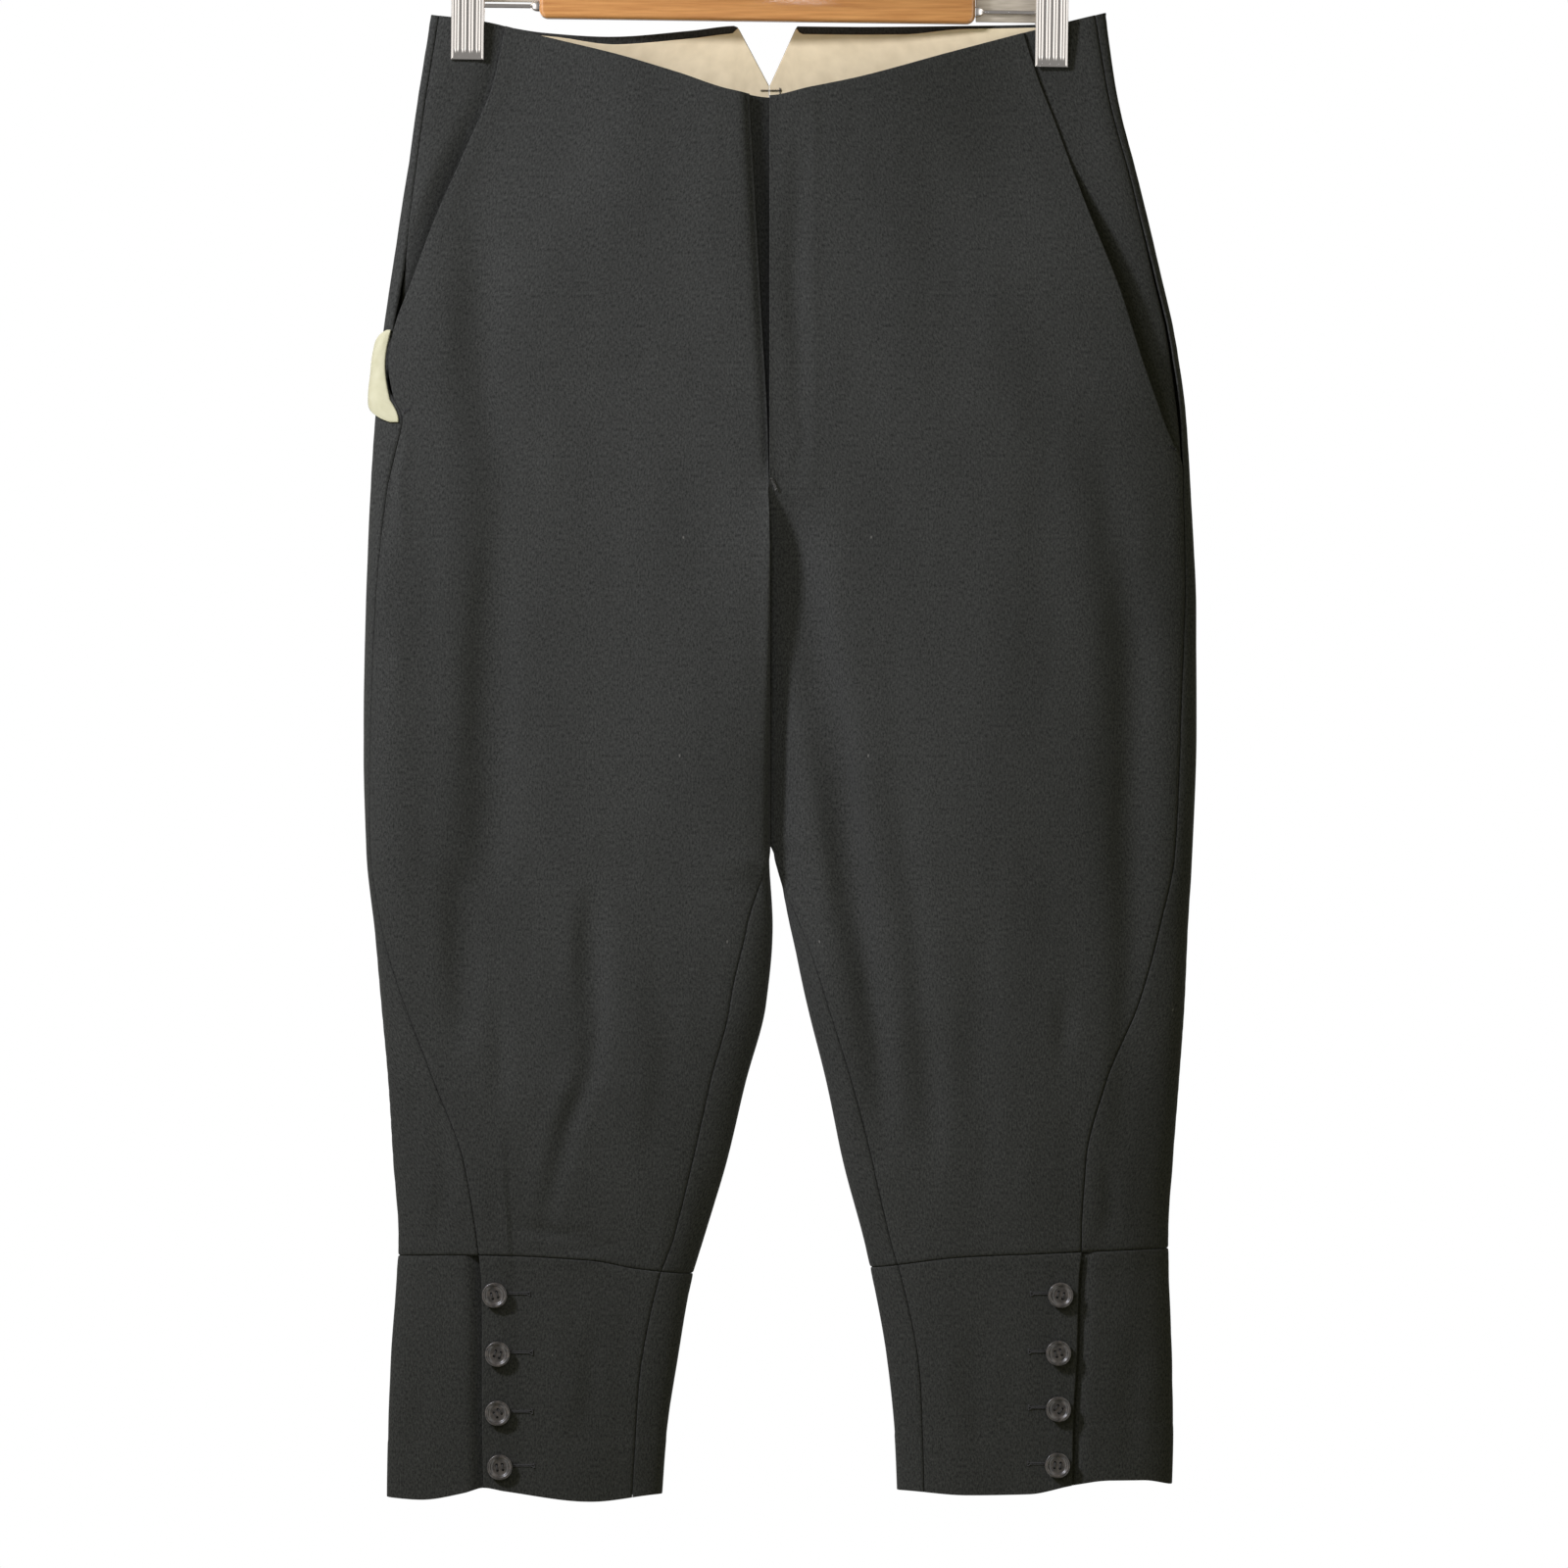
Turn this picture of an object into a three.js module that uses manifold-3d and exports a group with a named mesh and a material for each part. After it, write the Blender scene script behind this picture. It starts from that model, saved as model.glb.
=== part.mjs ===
// Cropped jodhpurs clipped to a wooden trouser hanger, as they hang from a rail.
// Millimetres, +Z up. The front of the garment faces -Y. Left and right are the wearer's,
// so the right leg lies at -X. The origin is the top of the inside of the hanger's hook,
// where the hook sits on the rail.
import * as THREE from "three";
import Module from "manifold-3d";

const wasm = await Module();
wasm.setup();

// ---------------------------------------------------------------- sizes

const cloth = 1.2; // wall of the outer cloth
const cotton = 1; // wall of the thin cotton facing and pocket bag
const seamGap = 0.3; // between two pieces at a seam
const under = 2; // how deep a piece lies that is covered by another one
const waistLevel = -100;
const crotchZ = -572;
const kneeLevel = -803;
const warpReach = 80; // a slanted waist or knee seam bends the rows this far in
// Rows of the long panels: how many from each height down to the next.
const rowBands = [
  { from: waistLevel, rows: 7 },
  { from: -270, rows: 5 },
  { from: -350, rows: 8 },
  { from: crotchZ, rows: 8 },
  { from: kneeLevel, rows: 0 },
];
const centreX = 5.6; // the centre seams hang a little to the left of the hook
const waistBand = 4.5; // outer cloth turned in above the back facing
const facingFootZ = -186;
const notch = { depth: 34.5, right: 18.4, left: 15.7 }; // the V in the back waist
const pocketUnderlap = 30; // hip piece under the front
const placketLap = 28; // button stand under the cuff front
const flyGuard = { right: 20, left: 24, footZ: -372, drop: 1 };
const bag = { topZ: -274, footZ: -327, swell: 4.4 };
const button = { radius: 7, thickness: 2.8, hole: 0.8, spread: 1.5, lift: 0.3 };
const hangerLean = 0.013; // radians, lower at the left
const bar = { length: 249, height: 30, depth: 12, corner: 5, bevel: 2.4, footZ: -98 };
const rod = { radius: 1.2, z: -91, ferrule: 3, ferruleLength: 5 };
const strip = { thickness: 1.4, height: 20, footRight: -88.6, footLeft: -96.6, behind: 2.4 };
const hook = { radius: 20, wire: 1.75, collar: 4.6, collarHeight: 2.6 };
const clip = { width: 18.8, wall: 1.3, halfGap: 3.4, clear: 0.4, plateau: 14, ribs: 4, ribProud: 0.7 };
const springRadius = 4.2;
const clipRight = { x: -166.9, footZ: -120.1 };
const clipLeft = { x: 166.6, footZ: -124.4 };

// Sections of each half, from the waist to the hem. outer and inner are the edges of its
// outline, side and inseam tell how far in from them the seams lie on the front, and front
// and back are half depths. Above the crotch, inseam is the edge of the fly. On the cuff,
// side is the edge of the buttoned placket.
const rightSections = [
  { z: -95, outer: -187.5, inner: 5.5, side: 4.5, inseam: 13, front: 15, back: 13 },
  { z: -144, outer: -195.4, inner: 5.5, side: 4.5, inseam: 11, front: 17, back: 15 },
  { z: -189, outer: -202, inner: 5.5, side: 5, inseam: 8.5, front: 18.5, back: 18 },
  { z: -234, outer: -209, inner: 5.5, side: 6, inseam: 6, front: 20, back: 21 },
  { z: -279, outer: -215.5, inner: 5.5, side: 5, inseam: 3.5, front: 21.5, back: 24 },
  { z: -303, outer: -217.8, inner: 5.5, side: 4.6, inseam: 2, front: 22.3, back: 25 },
  { z: -327, outer: -219.8, inner: 5.5, side: 16.3, inseam: 0.8, front: 23, back: 26 },
  { z: -345, outer: -221, inner: 5.5, side: 13.6, inseam: 0.4, front: 23.5, back: 27 },
  { z: -368, outer: -222.3, inner: 5.5, side: 10.5, inseam: 0, front: 24, back: 28 },
  { z: -435, outer: -224.8, inner: 5.5, side: 7.7, inseam: 0, front: 25, back: 29 },
  { z: -503, outer: -226, inner: 5.5, side: 6.5, inseam: 0, front: 25, back: 29 },
  { z: -572, outer: -224.5, inner: 5.5, side: 4, inseam: 0, front: 24.5, back: 28 },
  { z: -615, outer: -220, inner: 7.6, side: 6, inseam: 14, front: 24, back: 27 },
  { z: -659, outer: -216.2, inner: 3.9, side: 14.5, inseam: 20, front: 23.5, back: 25.5 },
  { z: -704, outer: -212.2, inner: -7.8, side: 27, inseam: 19.5, front: 22.5, back: 24 },
  { z: -749, outer: -209.4, inner: -18.5, side: 41, inseam: 19, front: 21, back: 22 },
  { z: -794, outer: -206.3, inner: -32, side: 45.5, inseam: 17, front: 19, back: 20 },
  { z: -816, outer: -207.4, inner: -38.6, side: 49, inseam: 18.5, front: 18, back: 19 },
  { z: -861, outer: -210.6, inner: -46.5, side: 52.6, inseam: 20, front: 18, back: 18.5 },
  { z: -906, outer: -212.2, inner: -53.2, side: 54.3, inseam: 17, front: 18, back: 18.5 },
  { z: -946, outer: -212.8, inner: -56.2, side: 56, inseam: 16.2, front: 18.5, back: 19 },
];
const leftSections = [
  { z: -95, outer: 198, inner: 5.7, side: 6, inseam: 0, front: 15, back: 13 },
  { z: -144, outer: 205.5, inner: 5.7, side: 5, inseam: 0, front: 17, back: 15 },
  { z: -189, outer: 216.7, inner: 5.7, side: 4, inseam: 0, front: 18.5, back: 18 },
  { z: -234, outer: 227.4, inner: 5.7, side: 3.5, inseam: 0, front: 20, back: 21 },
  { z: -279, outer: 237.4, inner: 5.7, side: 3, inseam: 0, front: 21.5, back: 24 },
  { z: -323, outer: 243.6, inner: 5.7, side: 3, inseam: 0, front: 23, back: 26 },
  { z: -368, outer: 246.4, inner: 5.7, side: 4.2, inseam: 0, front: 24, back: 28 },
  { z: -435, outer: 249.6, inner: 5.7, side: 6.5, inseam: 0, front: 25, back: 29 },
  { z: -503, outer: 249.8, inner: 5.7, side: 9, inseam: 0, front: 25, back: 29 },
  { z: -572, outer: 247.5, inner: 5.7, side: 10, inseam: 0, front: 24.5, back: 28 },
  { z: -615, outer: 244.9, inner: 17.4, side: 16, inseam: 6.5, front: 24, back: 27 },
  { z: -659, outer: 242.9, inner: 26.9, side: 26, inseam: 12, front: 23.5, back: 25.5 },
  { z: -704, outer: 239.7, inner: 38.2, side: 42, inseam: 14.5, front: 22.5, back: 24 },
  { z: -749, outer: 236.3, inner: 47.6, side: 50, inseam: 16.5, front: 21, back: 22 },
  { z: -794, outer: 233.6, inner: 59.6, side: 49.8, inseam: 15, front: 19, back: 20 },
  { z: -816, outer: 234.1, inner: 64.6, side: 52, inseam: 16.5, front: 18, back: 19 },
  { z: -861, outer: 235.8, inner: 72.6, side: 55, inseam: 18, front: 18, back: 18.5 },
  { z: -906, outer: 236.4, inner: 77.3, side: 57.8, inseam: 16, front: 18, back: 18.5 },
  { z: -946, outer: 235.2, inner: 79, side: 57.7, inseam: 15.4, front: 18.5, back: 19 },
];

// The edges that run across the garment.
const frontWaist = [
  { x: -188, z: -94.1 }, { x: -156, z: -98.4 }, { x: -122, z: -107.1 },
  { x: -79.5, z: -117.8 }, { x: -46.5, z: -127.8 }, { x: -16.8, z: -137.6 },
  { x: 5.5, z: -141.1 }, { x: 27.8, z: -136.5 }, { x: 58.8, z: -129.9 },
  { x: 109, z: -115.9 }, { x: 149, z: -105.1 }, { x: 176, z: -98.3 }, { x: 198, z: -93 },
];
const backWaist = [
  { x: -188, z: -94.1 }, { x: -154, z: -99.1 }, { x: -123, z: -104.1 },
  { x: -87, z: -106 }, { x: -40, z: -102.4 }, { x: -12.8, z: -99.5 },
  { x: 21.3, z: -99.8 }, { x: 62.7, z: -100.2 }, { x: 133, z: -100 },
  { x: 156, z: -99.6 }, { x: 176, z: -98.2 }, { x: 198, z: -93 },
];
const kneeSeam = [
  { x: -207, z: -803.1 }, { x: -161, z: -802.5 }, { x: -97, z: -805.6 },
  { x: -69, z: -810.5 }, { x: -36, z: -813.4 }, { x: 62, z: -810 },
  { x: 113, z: -804 }, { x: 160, z: -801.7 }, { x: 234, z: -798.9 },
];
const hem = [
  { x: -213, z: -940.8 }, { x: -193, z: -941.9 }, { x: -169, z: -938 },
  { x: -157, z: -934.8 }, { x: -145, z: -936.8 }, { x: -95, z: -942.8 },
  { x: -56, z: -939.1 }, { x: 79, z: -936.8 }, { x: 118, z: -939.1 }, { x: 154, z: -938.4 },
  { x: 178, z: -933.6 }, { x: 200, z: -930.8 }, { x: 219, z: -930.8 }, { x: 235, z: -933.4 },
];

// The slanted mouth of each pocket, from the waist down to the side seam.
const rightPocket = [
  { z: -95, x: -144 }, { z: -134, x: -152.3 }, { z: -164, x: -164.6 },
  { z: -210, x: -184.5 }, { z: -241, x: -196 }, { z: -277, x: -209.2 },
  { z: -293, x: -211.7 }, { z: -316, x: -208.3 }, { z: -327, x: -203.4 },
];
const leftPocket = [
  { z: -95, x: 148 }, { z: -127, x: 157.9 }, { z: -157, x: 169.4 }, { z: -210, x: 188.7 },
  { z: -252, x: 205 }, { z: -297, x: 219 }, { z: -329, x: 231 }, { z: -350, x: 241.3 },
];

// Soft folds: the line of a trough from its top to its foot, its half width and its depth.
const folds = [
  { face: "front", top: -393, foot: -600, xTop: -153, xFoot: -158, half: 15, depth: 3.6 },
  { face: "front", top: -590, foot: -706, xTop: -95, xFoot: -102, half: 10, depth: 3.2 },
  { face: "front", top: -580, foot: -690, xTop: -172, xFoot: -166, half: 11, depth: 2.4 },
  { face: "front", top: -378, foot: -640, xTop: 14, xFoot: 56, half: 12, depth: 4.2 },
  { face: "front", top: -400, foot: -640, xTop: 208, xFoot: 206, half: 14, depth: 3 },
  { face: "front", top: -670, foot: -750, xTop: 92, xFoot: 98, half: 13, depth: 2.2 },
  { face: "back", top: -400, foot: -640, xTop: -40, xFoot: -96, half: 15, depth: 4 },
  { face: "back", top: -410, foot: -650, xTop: 50, xFoot: 112, half: 16, depth: 4.2 },
  { face: "back", top: -560, foot: -700, xTop: -150, xFoot: -140, half: 13, depth: 3 },
  { face: "back", top: -545, foot: -690, xTop: 180, xFoot: 170, half: 13, depth: 2.8 },
  { face: "back", top: -215, foot: -380, xTop: -118, xFoot: -92, half: 18, depth: 3 },
  { face: "back", top: -225, foot: -395, xTop: 124, xFoot: 104, half: 18, depth: 2.8 },
];

// Centres of the buttons down each placket.
const rightButtons = [
  { x: -150.6, z: -824.9 }, { x: -149, z: -858.5 }, { x: -149, z: -892.1 }, { x: -147.8, z: -922.9 },
];
const leftButtons = [
  { x: 171.4, z: -824.9 }, { x: 170.2, z: -857.9 }, { x: 170.2, z: -889.8 }, { x: 169.7, z: -921.8 },
];

// ---------------------------------------------------------------- curves

const clamp01 = (t) => Math.min(1, Math.max(0, t));
const lerp = (a, b, t) => a + (b - a) * t;
const smooth = (from, to, value) => {
  const t = clamp01((value - from) / (to - from));
  return t * t * (3 - 2 * t);
};

// A curve through a table's rows that never overshoots them.
function curveThrough(rows, key, value) {
  const sorted = [...rows].sort((a, b) => a[key] - b[key]);
  const at = sorted.map((row) => row[key]);
  const held = sorted.map((row) => row[value]);
  const rise = at.slice(1).map((end, i) => (held[i + 1] - held[i]) / (end - at[i]));
  const slope = at.map((_, i) => {
    if (i === 0) return rise[0];
    if (i === at.length - 1) return rise[i - 1];
    if (rise[i - 1] * rise[i] <= 0) return 0;
    return (2 * rise[i - 1] * rise[i]) / (rise[i - 1] + rise[i]);
  });
  return (where) => {
    let i = 0;
    while (i < at.length - 2 && at[i + 1] < where) i += 1;
    const span = at[i + 1] - at[i];
    const t = clamp01((where - at[i]) / span);
    const t2 = t * t;
    const t3 = t2 * t;
    const ends = held[i] * (2 * t3 - 3 * t2 + 1) + held[i + 1] * (3 * t2 - 2 * t3);
    return ends + span * (slope[i] * (t3 - 2 * t2 + t) + slope[i + 1] * (t3 - t2));
  };
}

const frontWaistZ = curveThrough(frontWaist, "x", "z");
const wholeBackWaistZ = curveThrough(backWaist, "x", "z");
const kneeZ = curveThrough(kneeSeam, "x", "z");
const hemZ = curveThrough(hem, "x", "z");

function backWaistZ(x) {
  const reach = x < centreX ? notch.right : notch.left;
  const away = Math.abs(x - centreX) / reach;
  return wholeBackWaistZ(x) - notch.depth * Math.max(0, 1 - away);
}

function halfBody(name, sections, pocket, innerSquareness) {
  const half = { name, innerSquareness, pocketX: curveThrough(pocket, "z", "x") };
  half.pocketFootZ = pocket[pocket.length - 1].z;
  for (const column of ["outer", "inner", "side", "inseam", "front", "back"])
    half[column] = curveThrough(sections, "z", column);
  return half;
}
// A low squareness is a boxy fold, and 1 is a round one.
const right = halfBody("right", rightSections, rightPocket, 0.56);
const left = halfBody("left", leftSections, leftPocket, 0.86);

// ---------------------------------------------------------------- the garment's form

// The legs part from the flat body in a valley that deepens to nothing at the crotch.
const valleyTop = { front: -356, back: -392 };
const parted = (face, z) => Math.pow(smooth(valleyTop[face], crotchZ, z), 0.85);

// How hard the clips press the cloth together, 1 under their jaws.
function pressed(x, z) {
  const from = x < 0 ? clipRight.x : clipLeft.x;
  const beyond = Math.max(0, Math.abs(x - from) - clip.plateau);
  const reach = Math.abs(x) > Math.abs(from) ? 14 : 62;
  return Math.exp(-((beyond / reach) ** 2)) * smooth(-262, -130, z);
}

function foldDepth(face, x, z) {
  let depth = 0;
  for (const fold of folds) {
    if (fold.face !== face || z > fold.top || z < fold.foot) continue;
    const down = (z - fold.top) / (fold.foot - fold.top);
    const away = (x - lerp(fold.xTop, fold.xFoot, down)) / fold.half;
    depth += fold.depth * Math.exp(-away * away) * Math.sin(Math.PI * down);
  }
  return depth;
}

// A point of the outer face. turn goes once round a half of the garment: 0 is the inner
// edge of the front, 0.5 the outer fold and 1 the inner edge of the back, which lies on 0
// below the crotch.
function surface(half, turn, z) {
  const angle = 2 * Math.PI * (turn > 1 ? turn - 1 : turn);
  const face = angle <= Math.PI ? "front" : "back";
  const inner = half.inner(z);
  const x = inner + ((half.outer(z) - inner) * (1 - Math.cos(angle))) / 2;
  const bulge = Math.abs(Math.sin(angle));
  const deep = half[face](z);
  let y = deep * Math.pow(bulge, 0.9);
  if (Math.cos(angle) > 0) {
    const edge = deep * (1 - parted(face, z));
    const boxy = face === "front" ? half.innerSquareness : 0.75;
    y = edge + (deep - edge) * Math.pow(bulge, lerp(boxy, 0.85, smooth(-600, -720, z)));
  }
  y -= foldDepth(face, x, z) * Math.min(1, bulge * 3);
  y = lerp(y, clip.halfGap * Math.min(1, bulge * 2.2), pressed(x, z));
  return new THREE.Vector3(x, face === "front" ? -y : y, z);
}

// The same point moved out along the cloth's normal.
function lifted(half, turn, z, lift) {
  const turnStep = 0.002;
  const zStep = 0.8;
  const closed = z < crotchZ;
  const wrap = (t) => (t < 0 ? t + 1 : t);
  const before = closed ? wrap(turn - turnStep) : Math.max(0, turn - turnStep);
  const after = closed ? turn + turnStep : Math.min(1, turn + turnStep);
  const round = surface(half, after, z).sub(surface(half, before, z));
  const up = surface(half, turn, z + zStep).sub(surface(half, turn, z - zStep));
  const normal = round.cross(up).normalize();
  if (half.name === "right") normal.negate();
  return surface(half, turn, z).addScaledVector(normal, lift);
}

const turnFor = (half, z, inset) => {
  const width = Math.abs(half.outer(z) - half.inner(z));
  return Math.acos(1 - (2 * Math.max(0, inset)) / width) / (2 * Math.PI);
};
const turnAtX = (half, z, x) => turnFor(half, z, Math.abs(x - half.inner(z)));
const sideTurn = (half, z, further = 0) => 0.5 - turnFor(half, z, half.side(z) + further);
const inseamTurn = (half, z) => turnFor(half, z, half.inseam(z));

// The turn that lies a distance along the cloth from another, forwards or back.
function turnBeyond(half, turn, z, distance) {
  const from = surface(half, turn, z);
  const way = Math.sign(distance);
  let near = 0;
  let far = 0.04;
  for (let i = 0; i < 14; i += 1) {
    const middle = (near + far) / 2;
    const reached = surface(half, turn + way * middle, z).distanceTo(from);
    if (reached < Math.abs(distance)) near = middle;
    else far = middle;
  }
  return turn + way * near;
}

// ---------------------------------------------------------------- walls

// A wall between two faces of the same grid of points. at(v, w) gives the outer point and
// the inner one, v from the top to the foot and w from one side to the other.
function wallGeometry(rows, columns, at) {
  const across = columns + 1;
  const count = (rows + 1) * across;
  const positions = [];
  const inside = [];
  for (let i = 0; i <= rows; i += 1) {
    for (let j = 0; j <= columns; j += 1) {
      const [outer, inner] = at(i / rows, j / columns);
      positions.push(...outer.toArray());
      inside.push(...inner.toArray());
    }
  }
  positions.push(...inside);
  const faces = [];
  const quad = (a, b, c, d) => faces.push(a, b, c, a, c, d);
  for (let i = 0; i < rows; i += 1) {
    for (let j = 0; j < columns; j += 1) {
      const a = i * across + j;
      quad(a, a + across, a + across + 1, a + 1);
      quad(a + count, a + 1 + count, a + across + 1 + count, a + across + count);
    }
  }
  for (let j = 0; j < columns; j += 1) {
    const foot = rows * across + j;
    quad(j, j + 1, j + 1 + count, j + count);
    quad(foot + 1, foot, foot + count, foot + 1 + count);
  }
  for (let i = 0; i < rows; i += 1) {
    const first = i * across;
    const last = first + columns;
    quad(first + across, first, first + count, first + across + count);
    quad(last, last + across, last + across + count, last + count);
  }
  return outwards(positions, faces);
}

// Turns every face round where the closed shape is inside out.
function outwards(positions, faces) {
  const corner = (i) => new THREE.Vector3().fromArray(positions, i * 3);
  let volume = 0;
  for (let f = 0; f < faces.length; f += 3)
    volume += corner(faces[f]).dot(corner(faces[f + 1]).cross(corner(faces[f + 2])));
  const geometry = new THREE.BufferGeometry();
  geometry.setAttribute("position", new THREE.Float32BufferAttribute(positions, 3));
  geometry.setIndex(volume > 0 ? faces : faces.reverse());
  geometry.computeVertexNormals();
  return geometry;
}

// A panel of cloth on one half. from and to give the turns of its two sides at a height,
// level gives the height for a place down the panel and across, lift how far the outer
// face stands off the garment's form.
function panel({ half, rows, columns, from, to, level, lift = () => 0, thickness = cloth }) {
  return wallGeometry(rows, columns, (v, w) => {
    let z = level(v, half.inner(-300));
    let turn = 0;
    for (let pass = 0; pass < 6; pass += 1) {
      turn = lerp(from(z), to(z), w);
      z = level(v, surface(half, turn, z).x);
    }
    const out = lift(turn, z);
    return [lifted(half, turn, z, out), lifted(half, turn, z, out - thickness)];
  });
}

const panelRows = rowBands.reduce((sum, band) => sum + band.rows, 0);

function bandedLevel(v) {
  let row = v * panelRows;
  let i = 0;
  while (i < rowBands.length - 2 && row > rowBands[i].rows) {
    row -= rowBands[i].rows;
    i += 1;
  }
  return lerp(rowBands[i].from, rowBands[i + 1].from, row / rowBands[i].rows);
}

// Level rows that bend only near a slanted top and foot, so that they meet across seams.
function warpedLevel(top, foot) {
  return (v, x) => {
    const flat = bandedLevel(v);
    const nearTop = clamp01(1 - (waistLevel - flat) / warpReach);
    const nearFoot = clamp01(1 - (flat - kneeLevel) / warpReach);
    return flat + (top(x) - waistLevel) * nearTop + (foot(x) - kneeLevel) * nearFoot;
  };
}
const evenLevel = (top, foot) => (v, x) => lerp(top(x), foot(x), v);

// ---------------------------------------------------------------- materials and meshes

const hex = { cloth: 0x3b3a38, cotton: 0xe0d2bb, button: 0x2b2927, wood: 0xc48d54, chrome: 0xb9b4ae };
const materials = {
  cloth: new THREE.MeshStandardMaterial({ color: hex.cloth, roughness: 0.92, metalness: 0 }),
  cotton: new THREE.MeshStandardMaterial({ color: hex.cotton, roughness: 0.9, metalness: 0 }),
  button: new THREE.MeshStandardMaterial({ color: hex.button, roughness: 0.35, metalness: 0 }),
  wood: new THREE.MeshStandardMaterial({ color: hex.wood, roughness: 0.3, metalness: 0 }),
  chrome: new THREE.MeshStandardMaterial({ color: hex.chrome, roughness: 0.2, metalness: 1 }),
};
const garment = new THREE.Group();

function mesh(name, geometry, material, group = garment) {
  const made = new THREE.Mesh(geometry, materials[material]);
  made.name = name;
  group.add(made);
  return made;
}

// ---------------------------------------------------------------- legs

// The pocket's mouth above, the side seam below.
function frontSideTurn(half, z) {
  const pocket = turnAtX(half, z, half.pocketX(z));
  const seam = turnBeyond(half, sideTurn(half, z), z, -seamGap / 2);
  return z > half.pocketFootZ ? Math.min(pocket, seam) : seam;
}

// The mouth of the pocket stands a little open.
function mouthLift(half, gape) {
  return (turn, z) => {
    const mouth = smooth(-205, -262, z) * smooth(-344, -300, z);
    const x = surface(half, turn, z).x;
    return gape * mouth * smooth(34, 0, Math.abs(x - half.pocketX(z)));
  };
}

function front(half, gape) {
  return panel({
    half,
    rows: panelRows,
    columns: 15,
    from: (z) => turnBeyond(half, inseamTurn(half, z), z, seamGap / 2),
    to: (z) => frontSideTurn(half, z),
    level: warpedLevel(frontWaistZ, (x) => kneeZ(x) + seamGap / 2),
    lift: mouthLift(half, gape),
  });
}

function back(half) {
  return panel({
    half,
    rows: panelRows,
    columns: 22,
    from: (z) => turnBeyond(half, sideTurn(half, z), z, seamGap / 2),
    to: (z) => {
      const end = z < crotchZ ? 1 + inseamTurn(half, z) : 1;
      return turnBeyond(half, end, z, -seamGap / 2);
    },
    level: warpedLevel(backWaistZ, (x) => kneeZ(x) + seamGap / 2),
  });
}

// The side piece that closes the pocket: it runs in under the front and comes up level
// with the side seam.
function hip(half) {
  const mouthTurn = (z) => frontSideTurn(half, z);
  return panel({
    half,
    rows: 14,
    columns: 8,
    from: (z) => turnBeyond(half, mouthTurn(z), z, -pocketUnderlap),
    to: (z) => turnBeyond(half, sideTurn(half, z), z, -seamGap / 2),
    level: evenLevel(frontWaistZ, () => half.pocketFootZ),
    lift: (turn, z) => {
      const beyond = Math.abs(surface(half, turn, z).x) - Math.abs(half.pocketX(z));
      return -under * (1 - smooth(3, 12, beyond));
    },
  });
}

mesh("front_right", front(right, 0.8), "cloth");
mesh("front_left", front(left, 1.8), "cloth");
mesh("back_right", back(right), "cloth");
mesh("back_left", back(left), "cloth");
mesh("hip_right", hip(right), "cloth");
mesh("hip_left", hip(left), "cloth");

// ---------------------------------------------------------------- waist and fly

// The guard behind the fly, one piece across the centre.
mesh("fly_guard", wallGeometry(12, 6, (v, w) => {
  const x = lerp(centreX - flyGuard.right, centreX + flyGuard.left, w);
  const z = lerp(frontWaistZ(x) - flyGuard.drop, flyGuard.footZ, v);
  const half = x < centreX ? right : left;
  const turn = turnAtX(half, z, x);
  return [lifted(half, turn, z, -under), lifted(half, turn, z, -under - cloth)];
}), "cloth");

function facing(half) {
  const sideEnd = 9;
  return panel({
    half,
    rows: 4,
    columns: 16,
    from: (z) => 0.5 + turnFor(half, z, sideEnd),
    to: (z) => turnBeyond(half, 1, z, -seamGap / 2),
    level: evenLevel((x) => backWaistZ(x) - waistBand, () => facingFootZ),
    lift: () => -under,
    thickness: cotton,
  });
}
mesh("facing_right", facing(right), "cotton");
mesh("facing_left", facing(left), "cotton");

// The fold of the right pocket's bag that has worked out of the pocket's mouth.
mesh("pocket_bag_right", wallGeometry(10, 5, (v, w) => {
  const z = lerp(bag.topZ, bag.footZ, v);
  const open = Math.pow(Math.sin(Math.PI * v), 0.55);
  const mouth = turnBeyond(right, frontSideTurn(right, z), z, 2.2);
  const turn = lerp(mouth, lerp(mouth + 0.012, 0.515, open), w);
  const out = cotton + seamGap + (bag.swell - cotton) * open * Math.sin((Math.PI / 2) * w);
  return [lifted(right, turn, z, out), lifted(right, turn, z, out - cotton)];
}), "cotton");

// ---------------------------------------------------------------- cuffs

const cuffLevel = evenLevel((x) => kneeZ(x) - seamGap / 2, hemZ);

function cuffFront(half) {
  return panel({
    half,
    rows: 6,
    columns: 10,
    from: (z) => turnBeyond(half, inseamTurn(half, z), z, seamGap / 2),
    to: (z) => sideTurn(half, z),
    level: cuffLevel,
  });
}

// The back of the cuff comes round both folds, and its button stand lies under the front.
function cuffBack(half) {
  return panel({
    half,
    rows: 6,
    columns: 23,
    from: (z) => sideTurn(half, z, placketLap),
    to: (z) => turnBeyond(half, 1 + inseamTurn(half, z), z, -seamGap / 2),
    level: cuffLevel,
    lift: (turn, z) => {
      const beyond = turn < 0.5 ? Math.abs(surface(half, turn, z).x - surface(half, sideTurn(half, z), z).x) : 99;
      const covered = turn < sideTurn(half, z);
      return covered ? -under : -under * (1 - smooth(1, 12, beyond));
    },
  });
}

mesh("cuff_front_right", cuffFront(right), "cloth");
mesh("cuff_front_left", cuffFront(left), "cloth");
mesh("cuff_back_right", cuffBack(right), "cloth");
mesh("cuff_back_left", cuffBack(left), "cloth");

// ---------------------------------------------------------------- buttons

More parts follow.
